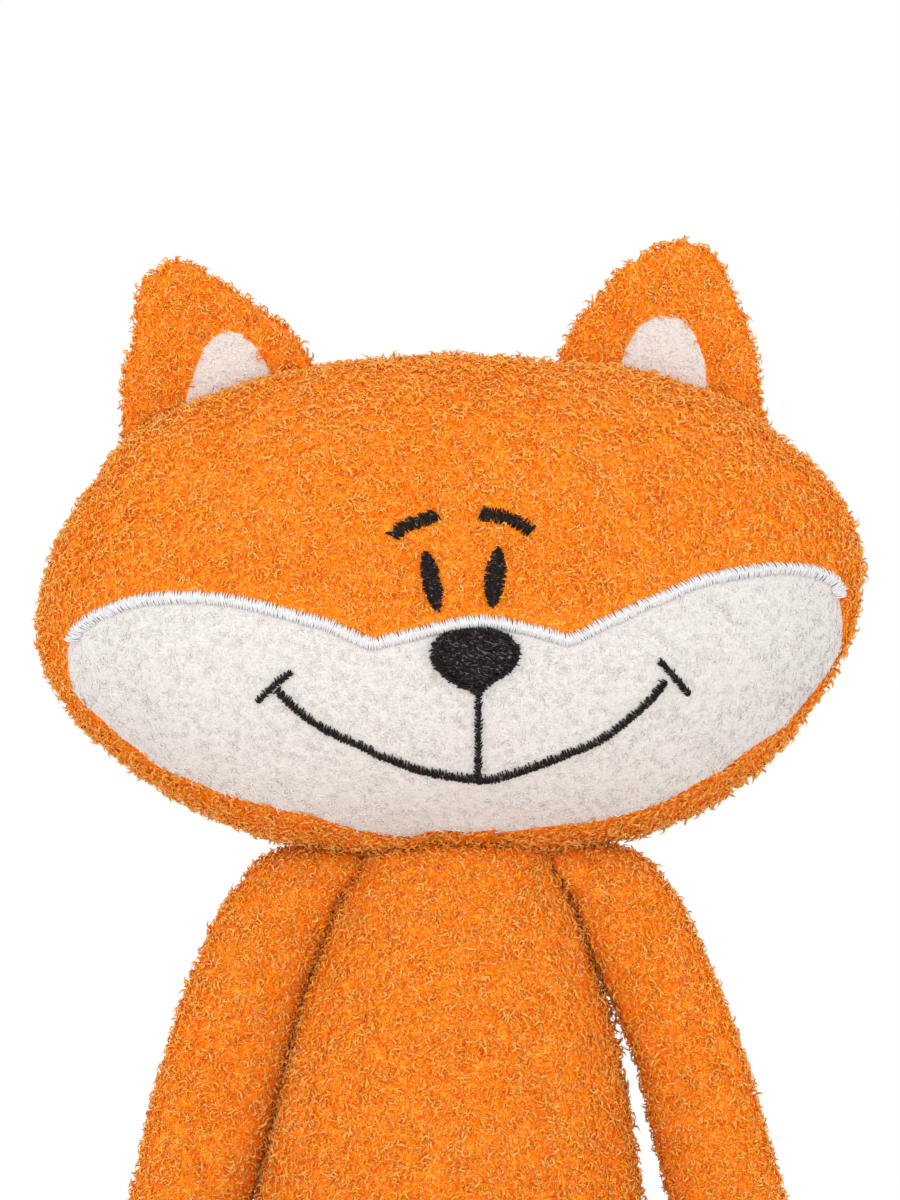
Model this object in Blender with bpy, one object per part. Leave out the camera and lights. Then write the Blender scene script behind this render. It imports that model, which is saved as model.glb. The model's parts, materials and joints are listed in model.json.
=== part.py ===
"""A plush fox that sits with its legs forward and its arms hanging.

Metres, +Z up. The fox looks along -Y, and left and right are its own, so its left is +X. The origin is
the middle of the flat seat. Each stuffed form is a skin of pile cloth round its own stuffing. Head,
ears, arms, legs and tail are sewn to what carries them, and each turns about its seam.
"""

from math import acos, asin, atan2, cos, pi, radians, sin, tan, tau

import bmesh
import bpy
from mathutils import Matrix, Vector
from mathutils.bvhtree import BVHTree

# Cloth, seams and clearances
CLOTH = 0.0014
EAR_CLOTH = 0.0010
SEAM_GAP = 0.0003
STUFFING_GAP = 0.0003
JOINT_GAP = 0.0005
PRESSED_FLAT = 0.0005
FLOOR_GAP = 0.0004
OVERRUN = 0.0200

# Body
BODY_HEIGHT = 0.1373
BODY_WIDTH = 0.0880
BODY_DEPTH = 0.0620
BODY_BASE_RISE = 0.0300
BODY_BASE_SQUARENESS = 5.0
BODY_LEAN = radians(1.95)
BODY_SEAM_SETBACK = 0.0030
BODY_WIDTH_SHARES = (
    (0.000, 1.000), (0.220, 1.000), (0.350, 0.985), (0.450, 0.945), (0.565, 0.880), (0.647, 0.832),
    (0.767, 0.743), (0.838, 0.680), (0.890, 0.623), (0.948, 0.547), (1.000, 0.430),
)
BODY_DEPTH_SHARES = ((0.000, 0.960), (0.250, 1.000), (0.500, 0.930), (0.800, 0.740), (1.000, 0.500))
BODY_AROUND = 16
BODY_BASE_TURNS = (radians(16), radians(38), radians(58), radians(76))
BODY_RINGS = 7

# Neck
NECK_RADIUS = 0.0150
NECK_PIVOT_RISE = 0.0118
NECK_TOP_SHARE = 0.70
NECK_AROUND = 12
NECK_RINGS = 4
NECK_CUP_AROUND = 12
NECK_CUP_RINGS = 11
NECK_CUP_GAP = 0.0009
NECK_CUP_POLE = radians(9)

# Head
HEAD_WIDTH = 0.1778
HEAD_RISE = 0.0492
HEAD_DROP = 0.0575
HEAD_DEPTH = 0.0870
HEAD_OUTLINE_POWER = 2.28
HEAD_DEPTH_POWER = 2.20
HEAD_UNDER_GAP = 0.0025
HEAD_TURN = radians(7)
HEAD_ROLL = radians(2)
HEAD_CUTS = 7
HEAD_MIDDLE = HEAD_DROP + HEAD_UNDER_GAP - NECK_PIVOT_RISE
HEAD_SEAM_FRONT = 0.0165
HEAD_SEAM_BACK = 0.0080
HEAD_SEAM_SHARES = (
    (-1.50, 0.90), (-1.00, 0.90), (-0.40, 1.00), (0.00, 0.88),
    (0.35, 0.45), (0.70, 0.05), (1.00, 0.00), (1.50, 0.00),
)

# White muzzle: its top edge, from the middle out to the cheek
MUZZLE_MARGIN = 0.0039
MUZZLE_HALF_WIDTH = HEAD_WIDTH / 2 - MUZZLE_MARGIN
MUZZLE_DIP = 0.0140
MUZZLE_EDGE_SHARES = (
    (0.000, -0.500), (0.055, -0.535), (0.116, -0.665), (0.179, -0.770), (0.247, -0.890),
    (0.306, -0.710), (0.400, -0.470), (0.510, -0.220), (0.623, -0.036), (0.735, 0.070),
    (0.847, 0.057), (0.930, -0.057), (1.000, -0.360),
)
BORDER_WIDTH = 0.0030
BORDER_RISE = 0.0008
BORDER_STEPS = 48
BORDER_SWEEP = radians(70)

# Embroidery on the face
STITCH_GAP = 0.0004
STITCH_RISE = 0.0007
NOSE_WIDTH = 0.0205
NOSE_HEIGHT = 0.0130
NOSE_TOP_DROP = 0.0106
NOSE_RISE = 0.0016
NOSE_MIDDLE_SHARE = 0.42
NOSE_SHARES = (
    (0.00, 0.00), (0.45, -0.02), (0.80, -0.14), (1.00, -0.36),
    (0.92, -0.58), (0.60, -0.80), (0.25, -0.95), (0.00, -1.00),
)
EYE_WIDTH = 0.0056
EYE_HEIGHT = 0.0134
EYE_SPACING = 0.0138
EYE_RISE = 0.0012
EYE_SHIFT = -0.0031
EYE_TILT = radians(7)
EYE_MIDDLE_RISE = 0.0011
EYE_POINTEDNESS = 0.3
BROW_INNER = 0.0045
BROW_OUTER = 0.0160
BROW_RISE = 0.0102
BROW_ARCH = 0.0054
BROW_WIDTH = 0.0028
BROW_PEAK_SHARE = 0.2
BROW_STEPS = 4
LINE_WIDTH = 0.0019
SMILE_WIDTH_SHARE = 0.51
SMILE_HALF_WIDTH = MUZZLE_HALF_WIDTH * SMILE_WIDTH_SHARE
SMILE_LOW_SHARE = 0.73
SMILE_LOW = HEAD_DROP * SMILE_LOW_SHARE
SMILE_RISE = 0.0208
SMILE_POWER = 1.75
SMILE_STEPS = 22
LIP_STEPS = 5
CHEEK_LENGTH = 0.0098
CHEEK_TILT = radians(48)

# Ears
EAR_MARGIN = 0.0401
EAR_SPACING = HEAD_WIDTH - 2 * EAR_MARGIN
EAR_SETBACK = 0.0080
EAR_WIDTH = 0.0425
EAR_HEIGHT = 0.0320
EAR_THICKNESS = 0.0100
EAR_ROOT_GAP = 0.0010
EAR_ROOT_REACH = 0.0060
EAR_TIP_ROUND = 0.0100
EAR_WIDTH_SHARES = ((-0.3, 1.00), (0.0, 1.00), (0.28, 0.90), (0.50, 0.70), (0.69, 0.56), (1.0, 0.45))
EAR_THICKNESS_SHARES = ((-0.3, 0.42), (0.0, 0.42), (0.25, 0.92), (0.5, 1.0), (0.8, 0.82), (1.0, 0.70))
EAR_AROUND = 12
EAR_STATIONS = 4
EAR_SEAM_GAP = 0.0003
EAR_PATCH_WIDTH = 0.0190
EAR_PATCH_HEIGHT = 0.0124
EAR_PATCH_LIFT = 0.0024
EAR_PATCH_SHIFT = -0.0020
EAR_PATCH_RISE = 0.0008
EAR_PATCH_MIDDLE_SHARE = 0.45
EAR_PATCH_SHARES = (
    (1.00, 0.00), (0.95, 0.35), (0.72, 0.72), (0.30, 0.97), (-0.22, 0.98), (-0.68, 0.75),
    (-0.95, 0.36), (-1.00, 0.00), (-0.50, -0.02), (0.00, -0.03), (0.50, -0.02),
)

# Arms
ARM_LENGTH = 0.1080
ARM_RADIUS = 0.0098
ARM_ROOT_SLOPE = radians(25)
SHOULDER_RISE = 0.0018
ARM_HANG_SLOPE = radians(12.3)
ARM_BEND_SHARE = 0.35
ARM_OPENING = 0.0036
ARM_SPREADS = {"left": radians(3.5), "right": radians(4.6)}
ARM_RADIUS_SHARES = ((0.0, 1.0), (0.45, 1.0), (0.80, 1.04), (1.0, 1.02))
ARM_AROUND = 12
ARM_STATIONS = 5

# Legs
LEG_LENGTH = 0.1080
LEG_RADIUS = 0.0138
LEG_SPACING = 0.0420
LEG_ROOT_HEIGHT = 0.0062
LEG_ROOT_THICKNESS = 0.0044
LEG_ROOT_WIDTH = 0.0220
LEG_RISE_SHARES = ((0.0, 0.0), (0.30, 1.0), (1.0, 1.0))
FOOT_SWELL_SHARES = ((0.0, 0.0), (0.30, 1.0), (0.45, 1.0), (0.72, 0.90), (0.90, 1.0), (1.0, 1.0))
LEG_AROUND = 12
LEG_STATIONS = 6

# Tail
TAIL_LENGTH = 0.1150
TAIL_RADIUS = 0.0185
TAIL_ROOT_HEIGHT = 0.0210
TAIL_ROOT_THICKNESS = 0.0046
TAIL_ROOT_WIDTH = 0.0150
TAIL_RADIUS_SHARES = ((0.0, 0.0), (0.18, 0.42), (0.40, 0.82), (0.62, 1.0), (0.82, 0.86), (1.0, 0.55))
TAIL_UPTURN = 0.0230
TAIL_RISE_SHARES = ((0.0, 0.0), (0.25, -0.09), (0.48, -0.125), (0.75, 0.22), (1.0, 1.0))
TAIL_TIP_SHARE = 0.68
TAIL_TIP_ROUND = 0.0120
TAIL_AROUND = 12
TAIL_STATIONS = 7

DOME_TURNS = (radians(34), radians(65))
ROOT_TURNS = (radians(38), radians(72))
FLAT_SIDES = 4
PAD_AROUND = 16
PAD_DOME_SHARES = ((0.55, 0.0), (1.0, 0.0), (1.0, 0.5), (0.80, 0.85), (0.45, 1.0))
SMOOTH_ANGLE = radians(55)
TINY_SHARE = 0.001

# Colours, as linear light, and roughness
ORANGE_PILE = ("orange_pile", (0.90, 0.235, 0.018), 0.95)
WHITE_PILE = ("white_pile", (0.80, 0.745, 0.70), 0.95)
WHITE_THREAD = ("white_thread", (0.90, 0.90, 0.90), 0.45)
BLACK_THREAD = ("black_thread", (0.022, 0.016, 0.016), 0.50)
STUFFING = ("stuffing", (0.85, 0.84, 0.81), 1.0)


def eased(table, share):
    """The value at a share, on a smooth curve through a table's rows of share and value."""
    shares = [row[0] for row in table]
    values = [row[1] for row in table]
    share = min(max(share, shares[0]), shares[-1])
    rates = [(values[i + 1] - values[i]) / (shares[i + 1] - shares[i]) for i in range(len(table) - 1)]
    slopes = [rates[0]]
    for before, after in zip(rates, rates[1:]):
        slopes.append(2 * before * after / (before + after) if before * after > 0 else 0)
    slopes.append(rates[-1])
    i = max(k for k in range(len(table) - 1) if shares[k] <= share)
    span = shares[i + 1] - shares[i]
    t = (share - shares[i]) / span
    return (
        (2 * t**3 - 3 * t**2 + 1) * values[i]
        + (t**3 - 2 * t**2 + t) * span * slopes[i]
        + (3 * t**2 - 2 * t**3) * values[i + 1]
        + (t**3 - t**2) * span * slopes[i + 1]
    )


def face_outward(bm):
    """Turns all the faces of a closed mesh outwards, and parts its quads the same way in nested forms."""
    bmesh.ops.triangulate(bm, faces=bm.faces, quad_method="FIXED")
    bmesh.ops.recalc_face_normals(bm, faces=bm.faces)
    if bm.calc_volume(signed=True) < 0:
        bmesh.ops.reverse_faces(bm, faces=bm.faces)
    return bm


def ball_bmesh(rings):
    """A closed mesh: a ball with its latitudes moved onto the rings, of which the end ones hold one point."""
    around = max(len(ring) for ring in rings)
    bm = bmesh.new()
    bmesh.ops.create_uvsphere(bm, u_segments=around, v_segments=len(rings) - 1, radius=1)
    for vert in bm.verts:
        latitude = acos(max(-1, min(1, vert.co.z))) / pi
        ring = rings[round(latitude * (len(rings) - 1))]
        turn = round(atan2(vert.co.y, vert.co.x) / tau * around)
        vert.co = ring[turn % len(ring)]
    return face_outward(bm)


def finish_mesh(bm, name):
    """The bmesh as a smooth-shaded mesh."""
    mesh = bpy.data.meshes.new(name)
    bm.to_mesh(mesh)
    bm.free()
    mesh.shade_smooth()
    mesh.set_sharp_from_angle(angle=SMOOTH_ANGLE)
    return mesh


def make_material(name, look):
    """The piece's own material, from a finish's colour and roughness."""
    made = bpy.data.materials.new(f"{name}_{look[0]}")
    made.use_nodes = True
    shader = made.node_tree.nodes["Principled BSDF"]
    shader.inputs["Base Color"].default_value = (*look[1], 1)
    shader.inputs["Roughness"].default_value = look[2]
    shader.inputs["Metallic"].default_value = 0
    return made


def add_piece(name, bm, look, parent=None):
    """One piece of the toy, made in the frame of the seam that carries it."""
    mesh = finish_mesh(bm, name)
    mesh.materials.append(make_material(name, look))
    piece = bpy.data.objects.new(name, mesh)
    bpy.context.collection.objects.link(piece)
    piece.parent = parent
    return piece


def add_cutter(name, bm, parent=None):
    """A hidden solid that only cuts others."""
    cutter = bpy.data.objects.new(name, finish_mesh(bm, name))
    bpy.context.collection.objects.link(cutter)
    cutter.parent = parent
    cutter.hide_render = True
    cutter.display_type = "WIRE"
    return cutter


def cut(piece, cutter, operation="DIFFERENCE"):
    """Cuts a piece by a cutter, or keeps what lies inside it with INTERSECT."""
    modifier = piece.modifiers.new(f"{operation.lower()}_{cutter.name}", "BOOLEAN")
    modifier.operation = operation
    modifier.solver = "EXACT"
    modifier.object = cutter
    return piece


def add_seam(name, matrix, parent=None):
    """An empty on a joint's axis, which carries the pieces that turn there."""
    seam = bpy.data.objects.new(name, None)
    bpy.context.collection.objects.link(seam)
    seam.parent = parent
    seam.matrix_local = matrix
    return seam


def axes_at(origin, side, rise, along):
    """A frame whose X, Y and Z are the three given directions."""
    matrix = Matrix((side.normalized(), rise.normalized(), along.normalized())).transposed().to_4x4()
    matrix.translation = origin
    return matrix


def prism_bmesh(outline, across, near, far):
    """A closed prism: an outline of points, pushed along the direction across from near to far."""
    bm = bmesh.new()
    face = bm.faces.new([bm.verts.new(point + across * near) for point in outline])
    pushed = bmesh.ops.extrude_face_region(bm, geom=[face])
    moved = [item for item in pushed["geom"] if isinstance(item, bmesh.types.BMVert)]
    bmesh.ops.translate(bm, verts=moved, vec=across * (far - near))
    return face_outward(bm)


# Body


def body_half_sizes(height):
    """Half width and half depth of the body at a height, above its pressed base."""
    share = height / BODY_HEIGHT
    return BODY_WIDTH / 2 * eased(BODY_WIDTH_SHARES, share), BODY_DEPTH / 2 * eased(BODY_DEPTH_SHARES, share)


def base_share(height):
    """How much of its full width the rounded base has at a height."""
    rise = (height + PRESSED_FLAT) / (BODY_BASE_RISE + PRESSED_FLAT)
    if rise >= 1:
        return 1
    return (1 - (1 - rise) ** BODY_BASE_SQUARENESS) ** (1 / BODY_BASE_SQUARENESS)


def body_surface(height, turn):
    """A point on the body and its outward normal, at a height and a turn from the front towards +X."""

    def point(h, a):
        half_width, half_depth = (size * base_share(h) for size in body_half_sizes(h))
        return Vector((half_width * sin(a) + h * tan(BODY_LEAN), -half_depth * cos(a), h))

    step = BODY_HEIGHT * TINY_SHARE
    turn_step = radians(1)
    upward = point(height + step, turn) - point(height - step, turn)
    onward = point(height, turn + turn_step) - point(height, turn - turn_step)
    return point(height, turn), onward.cross(upward).normalized()


def body_rings(inset, top):
    """Rings of the body from its flat seat up to a height, drawn in by inset."""
    lowest = inset - PRESSED_FLAT
    power = 2 / BODY_BASE_SQUARENESS
    stations = []
    for turn in BODY_BASE_TURNS:
        height = BODY_BASE_RISE - (BODY_BASE_RISE - lowest) * cos(turn) ** power
        stations.append((height, sin(turn) ** power))
    for k in range(BODY_RINGS + 1):
        stations.append((BODY_BASE_RISE + (top - BODY_BASE_RISE) * k / BODY_RINGS, 1))
    rings = [[Vector((0, 0, inset))]]
    for height, share in stations:
        half_width, half_depth = body_half_sizes(height)
        height = max(height, inset)
        ring = []
        for k in range(BODY_AROUND):
            turn = tau * k / BODY_AROUND
            x = (half_width - inset) * share * cos(turn) + height * tan(BODY_LEAN)
            y = (half_depth - inset) * share * sin(turn)
            ring.append(Vector((x, y, height)))
        rings.append(ring)
    rings.append([Vector((top * tan(BODY_LEAN), 0, top))])
    return rings


def make_body():
    """Front and back panels of cloth, sewn up the sides and under the seat, round the stuffing."""
    lining = add_cutter("body_hollow_cutter", ball_bmesh(body_rings(CLOTH, BODY_HEIGHT + OVERRUN)))
    reach = BODY_WIDTH + BODY_DEPTH
    top = BODY_HEIGHT + OVERRUN
    corners = ((-reach, -OVERRUN), (reach, -OVERRUN), (reach, top), (-reach, top))
    outline = [Vector((x, 0, z)) for x, z in corners]
    seam = BODY_SEAM_SETBACK
    for side, near, far in (("front", -reach, seam - SEAM_GAP / 2), ("back", seam + SEAM_GAP / 2, reach)):
        half = add_cutter(f"body_{side}_half_cutter", prism_bmesh(outline, Vector((0, 1, 0)), near, far))
        panel = add_piece(f"body_{side}_panel", ball_bmesh(body_rings(0, BODY_HEIGHT)), ORANGE_PILE)
        cut(panel, half, "INTERSECT")
        cut(panel, lining)
    add_piece("body_stuffing", ball_bmesh(body_rings(CLOTH + STUFFING_GAP, BODY_HEIGHT)), STUFFING)


# Neck


def zone_rings(radius, low, high, around, count):
    """Rings of a ball about the origin that is cut flat at a low and a high level."""
    rings = [[Vector((0, 0, low))]]
    first, last = asin(low / radius), asin(high / radius)
    for k in range(count + 1):
        rise = first + (last - first) * k / count
        level = radius * sin(rise)
        reach = radius * cos(rise)
        turns = [tau * i / around for i in range(around)]
        rings.append([Vector((reach * cos(turn), reach * sin(turn), level)) for turn in turns])
    rings.append([Vector((0, 0, high))])
    return rings


def make_neck():
    """The short neck: a ball of stuffing in a collar of cloth, flat where it turns on the body."""
    pivot = Vector(((BODY_HEIGHT + NECK_PIVOT_RISE) * tan(BODY_LEAN), 0, BODY_HEIGHT + NECK_PIVOT_RISE))
    seam = add_seam("neck_turn_axis", Matrix.Translation(pivot))
    low = JOINT_GAP - NECK_PIVOT_RISE
    high = NECK_RADIUS * NECK_TOP_SHARE
    outer = zone_rings(NECK_RADIUS, low, high, NECK_AROUND, NECK_RINGS)
    collar = add_piece("neck_collar", ball_bmesh(outer), ORANGE_PILE, seam)
    inner = NECK_RADIUS - CLOTH
    core = zone_rings(inner, low, high, NECK_AROUND, NECK_RINGS)
    hollow = [[Vector((0, 0, low - OVERRUN))]]
    hollow += [[Vector((point.x, point.y, low - OVERRUN)) for point in core[1]]]
    hollow += core[1:-1]
    hollow += [[Vector((point.x, point.y, high + OVERRUN)) for point in core[-2]]]
    hollow += [[Vector((0, 0, high + OVERRUN))]]
    cut(collar, add_cutter("neck_hollow_cutter", ball_bmesh(hollow), seam))
    filling = zone_rings(inner - STUFFING_GAP, low, high, NECK_AROUND, NECK_RINGS)
    add_piece("neck_stuffing", ball_bmesh(filling), STUFFING, seam)
    return seam


# Head


def head_sizes(inset=0):
    """Half width, half depth, and the reach above and below the widest line."""
    return HEAD_WIDTH / 2 - inset, HEAD_DEPTH / 2 - inset, HEAD_RISE - inset, HEAD_DROP - inset


def head_level(point, inset=0):
    """Below 1 inside the head, above 1 outside it."""
    half_width, half_depth, rise, drop = head_sizes(inset)
    height = point.z - HEAD_MIDDLE
    upright = abs(height / (rise if height > 0 else drop)) ** HEAD_OUTLINE_POWER
    outline = abs(point.x / half_width) ** HEAD_OUTLINE_POWER + upright
    return outline ** (HEAD_DEPTH_POWER / HEAD_OUTLINE_POWER) + abs(point.y / half_depth) ** HEAD_DEPTH_POWER


def head_normal(point):
    """The outward direction of the head's surface at a point on it."""
    step = HEAD_WIDTH * TINY_SHARE
    slope = [head_level(point + axis * step) - head_level(point - axis * step) for axis in Matrix.Identity(3)]
    return Vector(slope).normalized()


def head_bmesh(inset=0):
    """The head's rounded form: a finely cut cube, swelled out."""
    half_width, half_depth, rise, drop = head_sizes(inset)
    bm = bmesh.new()
    bmesh.ops.create_cube(bm, size=2)
    bmesh.ops.subdivide_edges(bm, edges=bm.edges, cuts=HEAD_CUTS, use_grid_fill=True)
    for vert in bm.verts:
        unit = vert.co.normalized()
        point = Vector((unit.x * half_width, unit.y * half_depth, unit.z * (rise if unit.z > 0 else drop)))
        level = head_level(point + Vector((0, 0, HEAD_MIDDLE)), inset)
        vert.co = point / level ** (1 / HEAD_DEPTH_POWER) + Vector((0, 0, HEAD_MIDDLE))
    return face_outward(bm)


class HeadFront:
    """The front of the head's faceted cloth, on which the face is sewn."""

    def __init__(self):
        bm = head_bmesh()
        self.tree = BVHTree.FromBMesh(bm)
        bm.free()

    def at(self, x, z, lift):
        """A point over the cloth, for a place given from the middle of the widest line."""
        start = Vector((x, -HEAD_DEPTH, z + HEAD_MIDDLE))
        hit = self.tree.ray_cast(start, Vector((0, 1, 0)))[0]
        return hit + head_normal(hit) * lift


def pad_rings(place, outline, centre, low, high):
    """A domed pad over a surface. The outline's points are pairs, and place puts a pair at a height."""
    rings = [[place(*centre, low)]]
    for share, height in PAD_DOME_SHARES:
        lift = low + (high - low) * height
        ring = []
        for x, z in outline:
            ring.append(place(centre[0] + (x - centre[0]) * share, centre[1] + (z - centre[1]) * share, lift))
        rings.append(ring)
    rings.append([place(*centre, high)])
    return rings


def line_rings(place, path, width, low, high):
    """A flat raised line along a path of pairs, over a surface."""
    rings = []
    for k, (x, z) in enumerate(path):
        before, after = path[max(k - 1, 0)], path[min(k + 1, len(path) - 1)]
        along = Vector((after[0] - before[0], after[1] - before[1])).normalized() * (width / 2)
        left, right = (x - along.y, z + along.x), (x + along.y, z - along.x)
        ring = [place(*left, low), place(*right, low), place(*right, high), place(*left, high)]
        if k == 0:
            rings.append([sum(ring, Vector()) / FLAT_SIDES])
        rings.append(ring)
    rings.append([sum(rings[-1], Vector()) / FLAT_SIDES])
    return rings


def closed_outline(points, count):
    """Evenly many points round a closed outline, on a smooth curve through the given ones."""
    table = [(k / len(points), point) for k, point in enumerate(points + points[:1])]
    wrapped = [(share - 1, point) for share, point in table[-3:-1]] + table
    wrapped += [(share + 1, point) for share, point in table[1:3]]
    xs = [(share, point[0]) for share, point in wrapped]
    zs = [(share, point[1]) for share, point in wrapped]
    return [(eased(xs, k / count), eased(zs, k / count)) for k in range(count)]


def muzzle_edge(x):
    """Height of the muzzle's top edge, from the widest line, at a distance from the middle."""
    return MUZZLE_DIP * eased(MUZZLE_EDGE_SHARES, abs(x) / MUZZLE_HALF_WIDTH)


def smile_height(x):
    """Height of the smile at a distance from the middle."""
    return SMILE_RISE * abs(x / SMILE_HALF_WIDTH) ** SMILE_POWER - SMILE_LOW


def seam_prism(shift, depth_sign):
    """All that lies behind or before the seam between the head's front and back."""
    outline = []
    for level, share in HEAD_SEAM_SHARES:
        y = HEAD_SEAM_BACK - (HEAD_SEAM_FRONT + HEAD_SEAM_BACK) * share + shift
        outline.append(Vector((0, y, HEAD_MIDDLE + HEAD_DROP * level)))
    far = depth_sign * HEAD_DEPTH
    outline.append(Vector((0, far, outline[-1].z)))
    outline.append(Vector((0, far, outline[0].z)))
    return prism_bmesh(outline, Vector((1, 0, 0)), -HEAD_WIDTH, HEAD_WIDTH)


def edge_prism(shift, height_sign):
    """All that lies under or over the muzzle's top edge."""
    reach = HEAD_WIDTH
    outline = [Vector((-reach, 0, HEAD_MIDDLE + muzzle_edge(MUZZLE_HALF_WIDTH) + shift))]
    for k in range(-BORDER_STEPS // 2, BORDER_STEPS // 2 + 1):
        x = MUZZLE_HALF_WIDTH * 2 * k / BORDER_STEPS
        outline.append(Vector((x, 0, HEAD_MIDDLE + muzzle_edge(x) - BORDER_WIDTH / 2 + shift)))
    outline.append(Vector((reach, 0, outline[0].z)))
    far = HEAD_MIDDLE + height_sign * HEAD_WIDTH
    outline += [Vector((reach, 0, far)), Vector((-reach, 0, far))]
    return prism_bmesh(outline, Vector((0, 1, 0)), -HEAD_DEPTH, HEAD_DEPTH)


def make_head(neck):
    """Orange face, white muzzle and orange back round the stuffing, which sits on the neck's ball."""
    matrix = Matrix.Rotation(HEAD_TURN, 4, "Z") @ Matrix.Rotation(-HEAD_ROLL, 4, "Y")
    seam = add_seam("head_nod_axis", matrix, neck)
    half = SEAM_GAP / 2
    hollow = add_cutter("head_hollow_cutter", head_bmesh(CLOTH), seam)
    cup_radius = NECK_RADIUS + NECK_CUP_GAP
    cup_reach = cup_radius * cos(NECK_CUP_POLE)
    ball = zone_rings(cup_radius, -cup_reach, cup_reach, NECK_CUP_AROUND, NECK_CUP_RINGS)
    cup = add_cutter("head_cup_cutter", ball_bmesh(ball), seam)
    behind = add_cutter("head_behind_seam_cutter", seam_prism(half, 1), seam)
    before = add_cutter("head_before_seam_cutter", seam_prism(-half, -1), seam)
    under = add_cutter("head_under_edge_cutter", edge_prism(-half, -1), seam)
    over = add_cutter("head_over_edge_cutter", edge_prism(half, 1), seam)
    back = add_piece("head_back_panel", head_bmesh(), ORANGE_PILE, seam)
    for cutter, operation in ((behind, "INTERSECT"), (hollow, "DIFFERENCE"), (cup, "DIFFERENCE")):
        cut(back, cutter, operation)
    muzzle = add_piece("muzzle_panel", head_bmesh(), WHITE_PILE, seam)
    face = add_piece("head_face_panel", head_bmesh(), ORANGE_PILE, seam)
    for panel, part in ((muzzle, under), (face, over)):
        cut(panel, before, "INTERSECT")
        cut(panel, hollow)
        cut(panel, part, "INTERSECT")
    stuffing = add_piece("head_stuffing", head_bmesh(CLOTH + STUFFING_GAP), STUFFING, seam)
    cut(stuffing, cup)
    make_face(seam)
    return seam


def make_face(seam):
    """The embroidery: the muzzle's satin edge, nose, mouth, cheeks, eyes and brows."""
    front = HeadFront()

    def line(name, path, width, rise, look):
        rings = line_rings(front.at, path, width, STITCH_GAP, STITCH_GAP + rise)
        add_piece(name, ball_bmesh(rings), look, seam)

    def pad(name, outline, centre, rise):
        smooth = closed_outline(outline, PAD_AROUND)
        rings = pad_rings(front.at, smooth, centre, STITCH_GAP, STITCH_GAP + rise)
        add_piece(name, ball_bmesh(rings), BLACK_THREAD, seam)

    border = []
    for k in range(BORDER_STEPS + 1):
        sweep = BORDER_SWEEP * (2 * k / BORDER_STEPS - 1)
        x = (MUZZLE_HALF_WIDTH - BORDER_WIDTH) * sin(sweep) / sin(BORDER_SWEEP)
        border.append((x, muzzle_edge(x) - BORDER_WIDTH / 2))
    line("muzzle_border_stitching", border, BORDER_WIDTH, BORDER_RISE, WHITE_THREAD)

    half_nose = [(x * NOSE_WIDTH / 2, z * NOSE_HEIGHT - NOSE_TOP_DROP) for x, z in NOSE_SHARES]
    nose = half_nose + [(-x, z) for x, z in half_nose[-2:0:-1]]
    pad("nose_stitching", nose, (0, -NOSE_TOP_DROP - NOSE_HEIGHT * NOSE_MIDDLE_SHARE), NOSE_RISE)

    smile = []
    smile_end = SMILE_HALF_WIDTH - LINE_WIDTH / 2 - SEAM_GAP
    for k in range(-SMILE_STEPS // 2, SMILE_STEPS // 2 + 1):
        x = smile_end * 2 * k / SMILE_STEPS
        smile.append((x, smile_height(x)))
    line("smile_stitching", smile, LINE_WIDTH, STITCH_RISE, BLACK_THREAD)
    lip_top = -NOSE_TOP_DROP - NOSE_HEIGHT - SEAM_GAP
    lip_low = smile_height(0) + LINE_WIDTH / 2 + SEAM_GAP
    lip = [(0, height) for height in spaced(lip_top, lip_low, LIP_STEPS)]
    line("lip_stitching", lip, LINE_WIDTH, STITCH_RISE, BLACK_THREAD)

    for sign, side in ((1, "left"), (-1, "right")):
        cheek_reach = CHEEK_LENGTH / 2
        across, down = sign * cos(CHEEK_TILT) * cheek_reach, -sin(CHEEK_TILT) * cheek_reach
        middle = (sign * (SMILE_HALF_WIDTH + LINE_WIDTH / 2), smile_height(SMILE_HALF_WIDTH))
        cheek = [(middle[0] + across * t, middle[1] + down * t) for t in (-1, 0, 1)]
        line(f"{side}_cheek_stitching", cheek, LINE_WIDTH, STITCH_RISE, BLACK_THREAD)

        eye_middle = (EYE_SHIFT + sign * EYE_SPACING / 2, EYE_MIDDLE_RISE)
        tilt = EYE_TILT * sign
        eye = []
        for k in range(PAD_AROUND):
            turn = tau * k / PAD_AROUND
            x = EYE_WIDTH / 2 * sin(turn) * abs(sin(turn)) ** EYE_POINTEDNESS
            z = EYE_HEIGHT / 2 * cos(turn)
            x, z = x * cos(tilt) + z * sin(tilt), z * cos(tilt) - x * sin(tilt)
            eye.append((eye_middle[0] + x, eye_middle[1] + z))
        pad(f"{side}_eye_stitching", eye, eye_middle, EYE_RISE)

        brow = []
        for k in range(BROW_STEPS + 1):
            share = k / BROW_STEPS
            x = BROW_INNER + (BROW_OUTER - BROW_INNER) * share
            sag = ((share - BROW_PEAK_SHARE) / (1 - BROW_PEAK_SHARE)) ** 2
            brow.append((EYE_SHIFT + sign * x, BROW_RISE + BROW_ARCH * (1 - sag)))
        line(f"{side}_brow_stitching", brow, BROW_WIDTH, STITCH_RISE, BLACK_THREAD)


# Limbs, ears and tail: round tubes that swell, taper and end in a dome


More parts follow.
